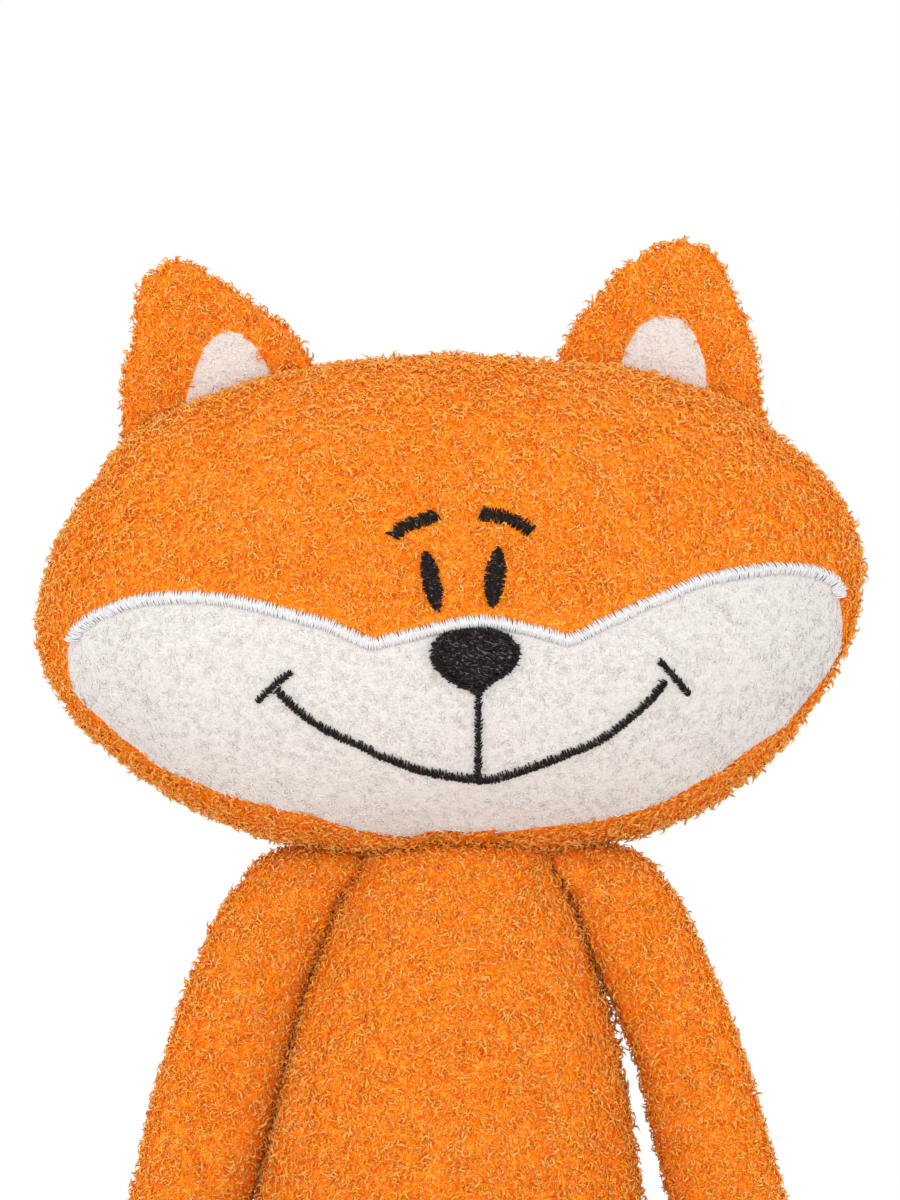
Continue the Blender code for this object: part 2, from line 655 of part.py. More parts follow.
def limb_rings(path, half_sizes, stations, around, tip, root_turns=()):
    """Rings of a limb along its own Z. path gives its middle at a distance along it, as X, Y and Z,
    half_sizes its half width along X and across it, tip its length and the radius of its end,
    and root_turns the turns at which its root has rings, where it is rounded about X."""
    length, tip_radius = tip
    centre = length - tip_radius
    root_radius = half_sizes(0)[1]
    places = [(-root_radius * sin(turn), 1, cos(turn)) for turn in reversed(root_turns)]
    places += [(distance, 1, 1) for distance in stations]
    places += [(centre + tip_radius * sin(turn), cos(turn), cos(turn)) for turn in DOME_TURNS]
    rings = []
    side = Vector((1, 0, 0))
    step = length * TINY_SHARE
    for distance, side_share, rise_share in places:
        along = Vector((0, 0, 1))
        if distance > 0:
            along = (path(distance + step) - path(distance - step)).normalized()
        rise = along.cross(side).normalized()
        across = rise.cross(along).normalized()
        half_side, half_rise = half_sizes(min(distance, centre))
        across *= half_side * side_share
        rise *= half_rise * rise_share
        turns = [tau * k / around for k in range(around)]
        rings.append([path(distance) + across * cos(turn) + rise * sin(turn) for turn in turns])
    return [[path(places[0][0])]] + rings + [[path(length)]]


def spaced(first, last, count):
    """Distances from first to last, in even steps."""
    return [first + (last - first) * k / count for k in range(count + 1)]


# Arms


def arm_path(distance):
    """The middle line of an arm from its shoulder: it leaves along the body's slope and bends to hang."""
    bend_length = ARM_LENGTH * ARM_BEND_SHARE
    bend = ARM_ROOT_SLOPE - ARM_HANG_SLOPE
    bent = min(max(distance, 0), bend_length)
    straight = max(distance - bend_length, 0)
    return Vector((0, -bend * bent**2 / bend_length / 2 - tan(bend) * straight, distance))


def arm_rings(inset):
    """Rings of an arm, drawn in by inset, round at the shoulder and at the paw."""
    radius = ARM_RADIUS - inset

    def half_sizes(distance):
        size = ARM_RADIUS * eased(ARM_RADIUS_SHARES, distance / ARM_LENGTH) - inset
        return size, size

    length = ARM_LENGTH - inset
    stations = spaced(0, length - radius, ARM_STATIONS)
    rings = limb_rings(arm_path, half_sizes, stations, ARM_AROUND, (length, radius))
    shoulder = [[arm_path(-radius)]]
    for turn in reversed(DOME_TURNS):
        middle = arm_path(-radius * sin(turn))
        shoulder.append([middle + (point - rings[0][0]) * cos(turn) for point in rings[1]])
    return shoulder + rings[1:]


def make_arm(side, sign):
    """An arm sewn to the body's side by its round shoulder. It swings about the seam's own normal."""
    reach = ARM_RADIUS + JOINT_GAP
    height = BODY_HEIGHT + SHOULDER_RISE - ARM_RADIUS - reach * sin(ARM_ROOT_SLOPE)
    surface = body_surface(height, sign * radians(90))[0]
    outward = Vector((sign * cos(ARM_ROOT_SLOPE), 0, sin(ARM_ROOT_SLOPE)))
    downward = Vector((sign * sin(ARM_ROOT_SLOPE), 0, -cos(ARM_ROOT_SLOPE)))
    across = outward.cross(downward)
    seam = add_seam(f"{side}_shoulder_axis", axes_at(surface + outward * reach, across, outward, downward))
    turned = Matrix.Rotation(-ARM_SPREADS[side], 4, "X")
    opening = [
        Vector((ARM_OPENING * cos(tau * k / ARM_AROUND), 0, ARM_OPENING * sin(tau * k / ARM_AROUND)))
        for k in range(ARM_AROUND)
    ]
    mouth = prism_bmesh(opening, Vector((0, 1, 0)), -OVERRUN, 0)
    hollow = ball_bmesh(arm_rings(CLOTH))
    hollow.transform(turned)
    skin = ball_bmesh(arm_rings(0))
    skin.transform(turned)
    filling = ball_bmesh(arm_rings(CLOTH + STUFFING_GAP))
    filling.transform(turned)
    sleeve = add_piece(f"{side}_arm_skin", skin, ORANGE_PILE, seam)
    cut(sleeve, add_cutter(f"{side}_arm_hollow_cutter", hollow, seam))
    cut(sleeve, add_cutter(f"{side}_arm_opening_cutter", mouth, seam))
    add_piece(f"{side}_arm_stuffing", filling, STUFFING, seam)


# Legs


def leg_rings(inset, reach=0):
    """Rings of a leg from its flat sewn end, drawn in by inset. reach takes a hollow out through that end."""
    middle = LEG_RADIUS + FLOOR_GAP - LEG_ROOT_HEIGHT

    def path(distance):
        return Vector((0, middle * eased(LEG_RISE_SHARES, distance / LEG_LENGTH), distance))

    def half_sizes(distance):
        swell = eased(FOOT_SWELL_SHARES, distance / LEG_LENGTH)
        half_width = LEG_ROOT_WIDTH / 2 + (LEG_RADIUS - LEG_ROOT_WIDTH / 2) * swell
        half_rise = LEG_ROOT_THICKNESS / 2 + (LEG_RADIUS - LEG_ROOT_THICKNESS / 2) * swell
        return half_width - inset, half_rise - inset

    tip = (LEG_LENGTH - inset, LEG_RADIUS - inset)
    stations = [-reach] * (reach > 0) + spaced(0, LEG_LENGTH - LEG_RADIUS, LEG_STATIONS)
    return limb_rings(path, half_sizes, stations, LEG_AROUND, tip, () if reach else ROOT_TURNS)


def seam_frame(height, thickness, turn):
    """A frame off the body's surface, in the middle of a rounded root: X along the seam, Y up, Z out."""
    surface, normal = body_surface(height, turn)
    outward = Vector((normal.x, normal.y, 0)).normalized()
    up = Vector((0, 0, 1))
    return axes_at(surface + outward * (JOINT_GAP + thickness / 2), up.cross(outward), up, outward)


def sewn_limb(name, seam, rings_at):
    """A skin that is open where it is sewn on, with its stuffing."""
    skin = add_piece(f"{name}_skin", ball_bmesh(rings_at(0)), ORANGE_PILE, seam)
    hollow = add_cutter(f"{name}_hollow_cutter", ball_bmesh(rings_at(CLOTH, OVERRUN)), seam)
    cut(skin, hollow)
    add_piece(f"{name}_stuffing", ball_bmesh(rings_at(CLOTH + STUFFING_GAP)), STUFFING, seam)
    return skin, hollow


def make_leg(side, sign):
    """A leg sewn flat to the body's lower front edge, along which it folds."""
    half_width = body_half_sizes(LEG_ROOT_HEIGHT)[0] * base_share(LEG_ROOT_HEIGHT)
    matrix = seam_frame(LEG_ROOT_HEIGHT, LEG_ROOT_THICKNESS, sign * asin(LEG_SPACING / 2 / half_width))
    sewn_limb(f"{side}_leg", add_seam(f"{side}_hip_axis", matrix), leg_rings)


# Tail


def tail_rings(inset, reach=0):
    """Rings of the tail from its flat sewn end to its tip, drawn in by inset."""

    def path(distance):
        return Vector((0, TAIL_UPTURN * eased(TAIL_RISE_SHARES, distance / TAIL_LENGTH), distance))

    def half_sizes(distance):
        swell = eased(TAIL_RADIUS_SHARES, distance / TAIL_LENGTH)
        half_width = TAIL_ROOT_WIDTH / 2 + (TAIL_RADIUS - TAIL_ROOT_WIDTH / 2) * swell
        half_rise = TAIL_ROOT_THICKNESS / 2 + (TAIL_RADIUS - TAIL_ROOT_THICKNESS / 2) * swell
        return half_width - inset, half_rise - inset

    tip = (TAIL_LENGTH - inset, TAIL_TIP_ROUND - inset)
    stations = [-reach] * (reach > 0) + spaced(0, TAIL_LENGTH - TAIL_TIP_ROUND, TAIL_STATIONS)
    return limb_rings(path, half_sizes, stations, TAIL_AROUND, tip, () if reach else ROOT_TURNS)


def make_tail():
    """The tail, sewn to the middle of the back: an orange sleeve and a white tip round one stuffing."""
    seam = add_seam("tail_axis", seam_frame(TAIL_ROOT_HEIGHT, TAIL_ROOT_THICKNESS, pi))
    sleeve, hollow = sewn_limb("tail", seam, tail_rings)
    join = TAIL_LENGTH * TAIL_TIP_SHARE
    reach = TAIL_RADIUS * 3
    corners = ((-reach, -reach), (reach, -reach), (reach, reach), (-reach, reach))
    outline = [Vector((x, y, 0)) for x, y in corners]
    axis = Vector((0, 0, 1))
    near = prism_bmesh(outline, axis, -reach, join - SEAM_GAP / 2)
    far = prism_bmesh(outline, axis, join + SEAM_GAP / 2, TAIL_LENGTH + reach)
    cut(sleeve, add_cutter("tail_near_cutter", near, seam), "INTERSECT")
    tip = add_piece("tail_tip", ball_bmesh(tail_rings(0)), WHITE_PILE, seam)
    cut(tip, hollow)
    cut(tip, add_cutter("tail_far_cutter", far, seam), "INTERSECT")


# Ears


def ear_rings(inset, reach=0):
    """Rings of an ear from below its sewn edge to its round tip. X is its thickness, Y its width."""

    def path(distance):
        return Vector((0, 0, distance))

    def half_sizes(distance):
        share = distance / EAR_HEIGHT
        thick = EAR_THICKNESS / 2 * eased(EAR_THICKNESS_SHARES, share)
        wide = EAR_WIDTH / 2 * eased(EAR_WIDTH_SHARES, share)
        return thick - inset, wide - inset

    first = -EAR_ROOT_REACH - reach
    stations = [first] + spaced(0, EAR_HEIGHT - EAR_TIP_ROUND, EAR_STATIONS)
    return limb_rings(path, half_sizes, stations, EAR_AROUND, (EAR_HEIGHT - inset, EAR_TIP_ROUND - inset))


def make_ear(side, sign, head):
    """An ear sewn in behind the crest of the head: front, back, white patch and thin stuffing."""
    form = head_bmesh()
    tree = BVHTree.FromBMesh(form)
    form.free()
    above = Vector((sign * EAR_SPACING / 2, EAR_SETBACK, HEAD_MIDDLE + HEAD_RISE + OVERRUN))
    root = tree.ray_cast(above, Vector((0, 0, -1)))[0]
    normal = head_normal(root)
    up = Vector((normal.x, 0, normal.z)).normalized()
    fore = Vector((0, -1, 0))
    matrix = axes_at(root, fore, up.cross(fore), up)
    seam = add_seam(f"{side}_ear_axis", matrix, head)
    hollow = add_cutter(f"{side}_ear_hollow_cutter", ball_bmesh(ear_rings(EAR_CLOTH, OVERRUN)), seam)
    crest = add_cutter(f"{side}_ear_crest_cutter", head_bmesh(-EAR_ROOT_GAP), head)
    reach = EAR_WIDTH
    corners = ((-reach, -reach), (reach, -reach), (reach, reach), (-reach, reach))
    outline = [Vector((0, y, z)) for y, z in corners]
    axis = Vector((1, 0, 0))
    for part, near, far in (("front", EAR_SEAM_GAP / 2, reach), ("back", -reach, -EAR_SEAM_GAP / 2)):
        half = add_cutter(f"{side}_ear_{part}_half_cutter", prism_bmesh(outline, axis, near, far), seam)
        panel = add_piece(f"{side}_ear_{part}", ball_bmesh(ear_rings(0)), ORANGE_PILE, seam)
        cut(panel, half, "INTERSECT")
        cut(panel, crest)
        cut(panel, hollow)
    filling = ball_bmesh(ear_rings(EAR_CLOTH + STUFFING_GAP))
    cut(add_piece(f"{side}_ear_stuffing", filling, STUFFING, seam), crest)

    front = ball_bmesh(ear_rings(0))
    skin = BVHTree.FromBMesh(front)
    front.free()

    def place(y, z, lift):
        hit, direction = skin.ray_cast(Vector((reach, y, z)), Vector((-1, 0, 0)))[:2]
        return hit + direction * lift

    patch = []
    for x, z in EAR_PATCH_SHARES:
        y = sign * (x * EAR_PATCH_WIDTH / 2 + EAR_PATCH_SHIFT)
        patch.append((y, EAR_PATCH_LIFT + z * EAR_PATCH_HEIGHT))
    centre = (sign * EAR_PATCH_SHIFT, EAR_PATCH_LIFT + EAR_PATCH_HEIGHT * EAR_PATCH_MIDDLE_SHARE)
    smooth = closed_outline(patch, PAD_AROUND)
    rings = pad_rings(place, smooth, centre, STITCH_GAP, STITCH_GAP + EAR_PATCH_RISE)
    add_piece(f"{side}_ear_patch", ball_bmesh(rings), WHITE_PILE, seam)


def main():
    for old in list(bpy.data.objects):
        bpy.data.objects.remove(old, do_unlink=True)
    make_body()
    neck = make_neck()
    head = make_head(neck)
    for sign, side in ((1, "left"), (-1, "right")):
        make_ear(side, sign, head)
        make_arm(side, sign)
        make_leg(side, sign)
    make_tail()


main()
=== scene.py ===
import json
from math import cos, pi, radians, sin, tau

import bmesh
import bpy
import numpy as np
from mathutils import Matrix, Vector, noise
from mathutils.bvhtree import BVHTree

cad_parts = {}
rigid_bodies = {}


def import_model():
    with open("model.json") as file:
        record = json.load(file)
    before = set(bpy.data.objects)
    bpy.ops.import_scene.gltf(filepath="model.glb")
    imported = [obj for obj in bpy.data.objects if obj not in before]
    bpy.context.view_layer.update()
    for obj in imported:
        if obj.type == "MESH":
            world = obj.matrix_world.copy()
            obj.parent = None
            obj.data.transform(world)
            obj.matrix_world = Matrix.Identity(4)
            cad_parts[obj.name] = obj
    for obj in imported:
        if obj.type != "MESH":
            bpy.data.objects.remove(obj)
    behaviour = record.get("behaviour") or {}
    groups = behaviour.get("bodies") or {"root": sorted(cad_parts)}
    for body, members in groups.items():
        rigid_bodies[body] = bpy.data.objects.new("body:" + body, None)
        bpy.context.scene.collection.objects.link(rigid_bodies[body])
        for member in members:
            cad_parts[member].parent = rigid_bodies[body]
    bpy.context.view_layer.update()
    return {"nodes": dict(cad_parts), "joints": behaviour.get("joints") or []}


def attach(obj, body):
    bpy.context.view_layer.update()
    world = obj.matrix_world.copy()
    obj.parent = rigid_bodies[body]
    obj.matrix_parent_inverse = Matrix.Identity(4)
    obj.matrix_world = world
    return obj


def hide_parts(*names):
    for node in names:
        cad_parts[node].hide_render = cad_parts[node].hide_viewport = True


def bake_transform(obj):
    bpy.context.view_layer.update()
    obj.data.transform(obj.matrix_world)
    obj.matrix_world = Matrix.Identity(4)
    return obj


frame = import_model()

# The fox's visual model: stuffed skins, each with its own pile, and a face embroidered in threads.
# Lengths are in metres, made with MM, apart from the tables and stitches, which are in millimetres.

MM = 0.001
UP = Vector((0, 0, 1))
BACKWARD = Vector((0, 1, 0))
SIDES = (("left", 1), ("right", -1))

# Camera and picture: the middle of the view, its height, and how far off the camera stands
VIEW_MIDDLE = Vector((3.0 * MM, 0, 193.9 * MM))
VIEW_HEIGHT = 264 * MM
VIEW_DISTANCE = 2.5
VIEW_POINT = VIEW_MIDDLE - Vector((0, VIEW_DISTANCE, 0))
SENSOR = 36.0

# Strength of the light from all round, and the lamps' width and where they face
AMBIENT = 0.99
LAMP_SIZE = 0.9
LAMP_AIM = (0, 0, 0.15)

# From the neck to the middle of the head's widest line
HEAD_WIDEST = 48.2 * MM

# The cloth simulation: its steps, and how hard the stuffing presses
SWELL_STEPS = 20
SWELL_PRESSURE = 4

# Nothing of the cloth or of the pile lies lower than this over the floor
CLOTH_LOWEST, PILE_LOWEST = 0.9 * MM, 0.1 * MM

# A point looks for its panel from so many millimetres outside, so deep, and follows it over no larger a gap
PANEL_OUTSIDE, PANEL_DEPTH, PANEL_GAP = 12, 20, 5

# Where the stuffing lies deeper than this under its panels, it is sewn and doesn't swell
SEWN_DEPTH = 2.5 * MM

# How much fuller the photographed toy is than its CAD form, all round, before its pile
PLUMP = 0.6 * MM

# How much fuller the body's own left side is below the shoulders, and how far its top rises to the chin
BODY_SIDE, BODY_RISE = 0.9 * MM, 2.4 * MM

# How far the shoulder reaches in under the head, and how far it rises there
SHOULDER_REACH, SHOULDER_RISE = 9 * MM, 1.2 * MM

# How far the neck's collar spreads sideways and front to back, as shares of its size, and its voxel size
NECK_SPREAD = (0.70, 0.44)
NECK_VOXEL = 2 * MM

# Gaps between skins that press on each other: at seams, between body and head, and between arm and head
SEAM_GAP, BODY_GAP, ARM_GAP = 0.3 * MM, 0.4 * MM, 0.5 * MM

# Further fullness of the head's outline: degrees from +X towards the crown round a middle, and millimetres
OUTLINE_MIDDLE = (3.5 * MM, 0, 197.2 * MM)
HEAD_FULLNESS = (
    (-18.8, -1.7), (-11, -0.7), (-7, 0.3), (2, 1.7), (9, 0.8), (15.6, -0.6), (23, -2.0), (32, -0.8),
    (54, 0), (66, -1.2), (75, -0.4), (90, 0.3), (120, 0.3), (156, 0.0), (163.6, -2.3), (170.4, -1.9),
    (176.5, -0.6), (182, 1.2), (187.5, 2.9), (193, 2.3), (199.6, 1.1), (207, -0.6), (217, -0.6), (226, 0.2),
    (234.5, 0.9), (259, 0.6), (292, 2.0), (306, 2.2), (316, 2.0), (327.7, 0.4), (341.2, -1.7),
)

# Fullness of the arms, in millimetres: at Z, how far the outer and the inner side stand off from the body
ARM_FULLNESS = {
    "left": (
        (0, 2.1, -0.9), (66, 2.1, -0.9), (79, 2.2, -0.7), (88, 2.2, 0.3), (97, 2.0, 0.0), (106, 2.0, -0.8),
        (111, 1.0, -1.0), (119, 1.3, -1.0), (128, 1.2, -1.0), (132, -0.2, -1.0), (150, -0.4, -1.0),
    ),
    "right": (
        (0, -0.2, -1.0), (40, -0.2, -3.0), (66, -0.2, -4.6), (75, 0.7, -4.5), (84, 1.8, -4.2),
        (97, 1.8, -3.5), (106, 2.4, -2.0), (115, 1.8, -1.2), (123.5, 2.8, -1.0), (128, 2.0, -1.0),
        (132, 0.7, -1.0), (150, 0.9, -1.0),
    ),
}

# Ears and their white patches from the front: X and Z in millimetres
EAR_OUTLINES = {
    "left": (
        (25.0, 241.0), (26.5, 246.4), (27.6, 250.0), (30.0, 254.2), (33.2, 258.1), (36.5, 262.2),
        (40.7, 267.2), (44.6, 270.4), (49.2, 272.5), (54.7, 273.5), (59.6, 272.2), (63.0, 269.5),
        (64.5, 265.4), (66.5, 260.8), (68.9, 255.7), (70.3, 250.7), (71.6, 245.2), (72.3, 239.9),
        (72.9, 234.0), (73.5, 228.0), (50.0, 228.0),
    ),
    "right": (
        (-26.0, 241.5), (-27.0, 246.3), (-28.3, 248.7), (-31.0, 252.0), (-34.4, 255.5), (-38.8, 258.2),
        (-43.8, 261.5), (-48.0, 264.1), (-50.9, 266.6), (-53.9, 268.2), (-57.3, 268.6), (-60.5, 267.7),
        (-63.6, 265.4), (-65.6, 263.0), (-66.0, 258.6), (-66.9, 251.3), (-68.4, 246.5), (-69.5, 240.5),
        (-69.6, 232.6), (-69.6, 226.0), (-47.0, 226.0),
    ),
}
PATCH_OUTLINES = {
    "left": (
        (39.0, 236.0), (40.4, 243.4), (41.5, 248.9), (44.8, 254.4), (49.2, 256.8), (54.7, 255.9),
        (57.3, 252.2), (59.3, 246.7), (59.8, 239.7), (60.0, 230.0),
    ),
    "right": (
        (-57.0, 229.0), (-55.3, 236.8), (-54.2, 241.2), (-50.9, 250.0), (-46.5, 253.3), (-42.1, 252.2),
        (-38.4, 247.8), (-36.2, 242.7), (-35.5, 234.0),
    ),
}
EAR_INSET = 2.0 * MM
EAR_HALF_THICKNESS = 2.6 * MM
EAR_VOXEL = 2.6 * MM
EAR_SWELL = 2.6 * MM

# Width in millimetres of the ear's edge that is sewn and doesn't swell
EAR_SEWN = 3.4

# How far behind the head's middle the muzzle may reach, and how far its cloth may turn from the front
MUZZLE_BACK = 5 * MM
MUZZLE_TURN = -0.06

# The face from the front: X and Z in millimetres
BORDER = (
    (-80.1, 185.1), (-79.1, 186.9), (-77.5, 188.5), (-74.9, 190.3), (-72.5, 191.3), (-68.3, 193.0),
    (-64.1, 193.9), (-55.5, 194.5), (-47.2, 194.0), (-39.1, 192.5), (-29.5, 189.9), (-24.0, 188.4),
    (-19.2, 186.3), (-15.7, 184.7), (-13.3, 184.3), (-10.2, 185.1), (-4.7, 186.4), (0.8, 187.8),
    (4.9, 188.6), (9.1, 189.2), (13.8, 188.8), (18.6, 187.8), (22.8, 186.8), (26.2, 185.8), (29.3, 185.1),
    (32.4, 186.4), (36.6, 188.6), (41.3, 190.7), (46.1, 193.0), (51.0, 195.0), (55.8, 197.1), (61.3, 198.8),
    (69.9, 200.3), (76.6, 200.8), (82.5, 200.2), (86.4, 198.7), (88.2, 196.9), (88.4, 194.8),
)
MUZZLE_FOOT = (
    (89.3, 190.0), (89.3, 186.0), (88.8, 182.9), (86.6, 178.5), (83.3, 174.1), (80.4, 170.6), (77.6, 167.5),
    (75.6, 165.1), (71.2, 162.7), (67.5, 160.0), (62.4, 156.1), (58.0, 154.1), (53.6, 151.4), (49.2, 149.0),
    (44.8, 147.7), (36.0, 145.3), (27.2, 144.4), (18.4, 143.3), (9.6, 142.2), (0.8, 141.5), (-8.0, 142.0),
    (-16.8, 143.1), (-25.6, 145.9), (-34.4, 147.9), (-43.2, 150.1), (-48.0, 151.6), (-53.8, 154.3),
    (-59.9, 156.5), (-63.4, 158.7), (-65.2, 160.9), (-68.7, 163.1), (-71.1, 165.3), (-73.3, 167.5),
    (-76.0, 169.7), (-78.6, 171.9), (-79.9, 174.1), (-80.6, 177.0), (-81.2, 181.0), (-81.0, 184.0),
)
NOSE = (
    (9.2, 173.1), (7.3, 173.8), (4.9, 174.8), (2.2, 176.5), (-0.2, 178.6), (-1.4, 180.6), (-1.6, 182.7),
    (-1.1, 184.4), (0.8, 186.3), (4.2, 187.4), (7.7, 187.8), (11.8, 187.6), (15.2, 186.7), (17.3, 185.2),
    (18.5, 183.0), (18.2, 180.6), (16.6, 178.6), (14.6, 177.2), (12.8, 176.2), (11.1, 174.8), (9.2, 173.1),
)
NOSE_MIDDLE = (8.6, 181.2)
NOSE_LEFT, NOSE_RIGHT, NOSE_TOP, NOSE_HEIGHT = -2.0, 19, 187.6, 14.0

# How far out the satin round the nose runs, and the rows of stitches
NOSE_SHARE = 0.89
NOSE_ROWS, EYE_ROWS = 36, 34

# Where a stitch across a path has its points, from edge to edge
ACROSS = (-1, -0.6, 0, 0.6, 1)

LIP = ((9.2, 174.0), (9.2, 165.0), (9.1, 155.4))
SMILE = (
    (-35.1, 174.1), (-32.9, 171.9), (-29.5, 168.9), (-25.3, 166.0), (-21.2, 163.8), (-17.1, 162.1),
    (-13.0, 160.1), (-8.8, 158.4), (-4.7, 156.9), (-0.6, 155.9), (3.6, 155.2), (7.7, 154.6), (11.8, 154.6),
    (15.2, 155.4), (18.7, 156.4), (25.6, 158.8), (29.7, 160.5), (33.1, 161.8), (36.5, 163.5), (39.8, 165.8),
    (43.1, 168.5), (46.5, 171.6), (48.9, 174.2), (50.1, 176.2),
)
CHEEKS = {
    "left": ((48.9, 180.6), (52.0, 177.4), (55.1, 173.4)),
    "right": ((-39.1, 171.7), (-36.3, 174.7), (-31.9, 178.2)),
}
BROWS = {
    "left": ((9.7, 212.8), (11.8, 212.4), (15.2, 211.9), (18.0, 210.8), (20.7, 209.0)),
    "right": ((-9.7, 207.8), (-7.8, 209.5), (-5.4, 210.7), (-2.6, 211.4), (-0.2, 212.5)),
}

# Eyes: X and Z of the middle, tilt in degrees, half the height and half the width
EYES = {"left": (12.8, 198.9, 8.2, 6.2, 2.25), "right": (-1.1, 198.0, -10.7, 6.4, 2.05)}

# The curls' largest density per square metre, before their spacing thins them out
MOST_CURLS = 4e6

# Sizes of the unevenness in the pile: broad patches, swirls, tufts, clumps and single fibres
PATCH_SIZE, SWIRL_SIZE = 22 * MM, 3.2 * MM
TUFT_SIZE, CLUMP_SIZE, FIBRE_SIZE = 2.6 * MM, 2.4 * MM, 0.16 * MM

# Colours as linear light: deep, middle and light, where in the pile and the cloth deep is painted shade and
# light a painted highlight
ORANGE = ((0.93, 0.165, 0.001), (0.96, 0.370, 0.014), (0.97, 0.480, 0.125))
WHITE = ((0.755, 0.711, 0.677), (0.757, 0.713, 0.679), (0.768, 0.727, 0.694))
# For the threads the third colour is a painted highlight on the flecks where they glint
BLACK_THREAD = ((0.004, 0.003, 0.003), (0.030, 0.021, 0.019), (0.24, 0.20, 0.19))
WHITE_THREAD = ((0.66, 0.66, 0.67), (0.82, 0.82, 0.82), (0.92, 0.92, 0.92))
ORANGE_SHEEN, WHITE_SHEEN = (1, 0.68, 0.40), (1, 0.95, 0.92)


# Node trees


class Value:
    """A socket's number. Arithmetic on it adds Math nodes."""

    def __init__(self, nodes, socket):
        self.nodes = nodes
        self.socket = socket

    def math(self, operation, *others):
        numbers = dict(enumerate((self, *others)))
        return self.nodes.add("ShaderNodeMath", {"operation": operation}, numbers)

    def reflected(self, operation, other):
        return self.nodes.add("ShaderNodeMath", {"operation": operation}, {0: other, 1: self})

    def __add__(self, other):
        return self.math("ADD", other)

    def __radd__(self, other):
        return self.reflected("ADD", other)

    def __sub__(self, other):
        return self.math("SUBTRACT", other)

    def __rsub__(self, other):
        return self.reflected("SUBTRACT", other)

    def __mul__(self, other):
        return self.math("MULTIPLY", other)

    def __rmul__(self, other):
        return self.reflected("MULTIPLY", other)

    def __gt__(self, other):
        return self.math("GREATER_THAN", other)

    def __lt__(self, other):
        return self.math("LESS_THAN", other)

    def spread(self, low, high):
        """From 0 at low to 1 at high, kept between them."""
        settings = {"interpolation_type": "SMOOTHSTEP"}
        return self.nodes.add("ShaderNodeMapRange", settings, {0: self, 1: low, 2: high})


class Nodes:
    """Adds nodes to a tree."""

    def __init__(self, tree):
        self.tree = tree

    def add(self, kind, settings=None, inputs=None, output=0):
        """A node of a kind, with its settings, and the values or links of its sockets."""
        node = self.tree.nodes.new(kind)
        for name, value in (settings or {}).items():
            setattr(node, name, value)
        for name, value in (inputs or {}).items():
            if isinstance(value, Value):
                self.tree.links.new(value.socket, node.inputs[name])
            else:
                node.inputs[name].default_value = value
        return Value(self, node.outputs[output])

    def place(self):
        return self.add("ShaderNodeTexCoord", output="Object")

    def attribute(self, name):
        return self.add("ShaderNodeAttribute", {"attribute_name": name}, output="Fac")

    def noise(self, place, size, detail=2.0, roughness=0.5):
        """Noise whose lumps are about so many metres across."""
        inputs = {"Vector": place, "Scale": 1 / size, "Detail": detail, "Roughness": roughness}
        return self.add("ShaderNodeTexNoise", None, inputs)

    def mix(self, share, low, high):
        """A colour between two."""
        colours = [value if isinstance(value, Value) else (*value, 1) for value in (low, high)]
        inputs = {0: share, 6: colours[0], 7: colours[1]}
        return self.add("ShaderNodeMix", {"data_type": "RGBA"}, inputs, 2)

    def bump(self, height, distance, strength):
        inputs = {"Height": height, "Distance": distance, "Strength": strength}
        return self.add("ShaderNodeBump", None, inputs)

    def random(self, seed, low=0.0, high=1.0):
        inputs = {2: low, 3: high, "Seed": seed}
        return self.add("FunctionNodeRandomValue", {"data_type": "FLOAT"}, inputs, 1)

    def vector(self, operation, first, other, output=0):
        return self.add("ShaderNodeVectorMath", {"operation": operation}, {0: first, 1: other}, output)


def outermost(values, operation):
    """The greatest or the least of several values, or None without any."""
    found = None
    for value in values:
        found = value if found is None else found.math(operation, value)
    return found


def new_material(name):
    """A material, its nodes and its shader."""
    material = bpy.data.materials.new(name)
    material.use_nodes = True
    return material, Nodes(material.node_tree), material.node_tree.nodes["Principled BSDF"]


def feed(nodes, shader, **inputs):
    for name, value in inputs.items():
        socket = shader.inputs[name.replace("_", " ")]
        if isinstance(value, Value):
            nodes.tree.links.new(value.socket, socket)
        else:
            socket.default_value = value


def pile_material(name, deep, mid, light, sheen, fringe):
    """Curls of yarn that let light through, each of its own random tone, with painted shade at the root and
    between tufts and a painted highlight towards the tip.
    """
    material, nodes, shader = new_material(name)
    place = nodes.place()
    tip, shade = nodes.attribute("tip"), nodes.attribute("shade")
    patch = nodes.noise(place, PATCH_SIZE)
    tuft = nodes.noise(place, TUFT_SIZE, 1)
    # Painted shade: the deep colour at the roots and in the creases between tufts
    colour = nodes.mix((tip * 0.8 + tuft * 1.2 - 0.52).spread(0, 0.8), deep, mid)
    # Painted highlight: the light colour towards the tips, spread at random by each curl's shade value and
    # the broad patches
    colour = nodes.mix((shade * 0.8 + patch * 0.4 + tip * 0.5 - 0.60).spread(0, 0.8) * 0.9, colour, light)
    fibres = nodes.noise(place, FIBRE_SIZE, 1)
    feed(nodes, shader, Base_Color=colour, Roughness=0.8 + fibres * 0.15)
    feed(nodes, shader, Normal=nodes.bump(fibres, 0.05 * MM, 0.6))
    feed(nodes, shader, Sheen_Weight=sheen, Sheen_Roughness=0.4, Sheen_Tint=(*fringe, 1))
    feed(nodes, shader, Subsurface_Weight=0.5, Subsurface_Radius=(1, 1, 1), Subsurface_Scale=0.15 * MM)
    shader.inputs["Specular IOR Level"].default_value = 0.06
    return material


def fibre_lines(nodes, place, size, reach):
    """1 along the middle of tangled fibres of a width, and 0 between them."""
    inputs = {"Vector": place, "Scale": 1 / reach, "Detail": 1.0}
    bent = nodes.add("ShaderNodeTexNoise", None, inputs, "Color")
    offset = nodes.vector("SUBTRACT", bent, (0.5, 0.5, 0.5))
    offset = nodes.add("ShaderNodeVectorMath", {"operation": "SCALE"}, {0: offset, "Scale": reach * 2})
    place = nodes.vector("ADD", place, offset)
    line = (nodes.noise(place, size * 4, 0) - 0.5).math("ABSOLUTE")
    return 1 - line.spread(0.0, 0.11)


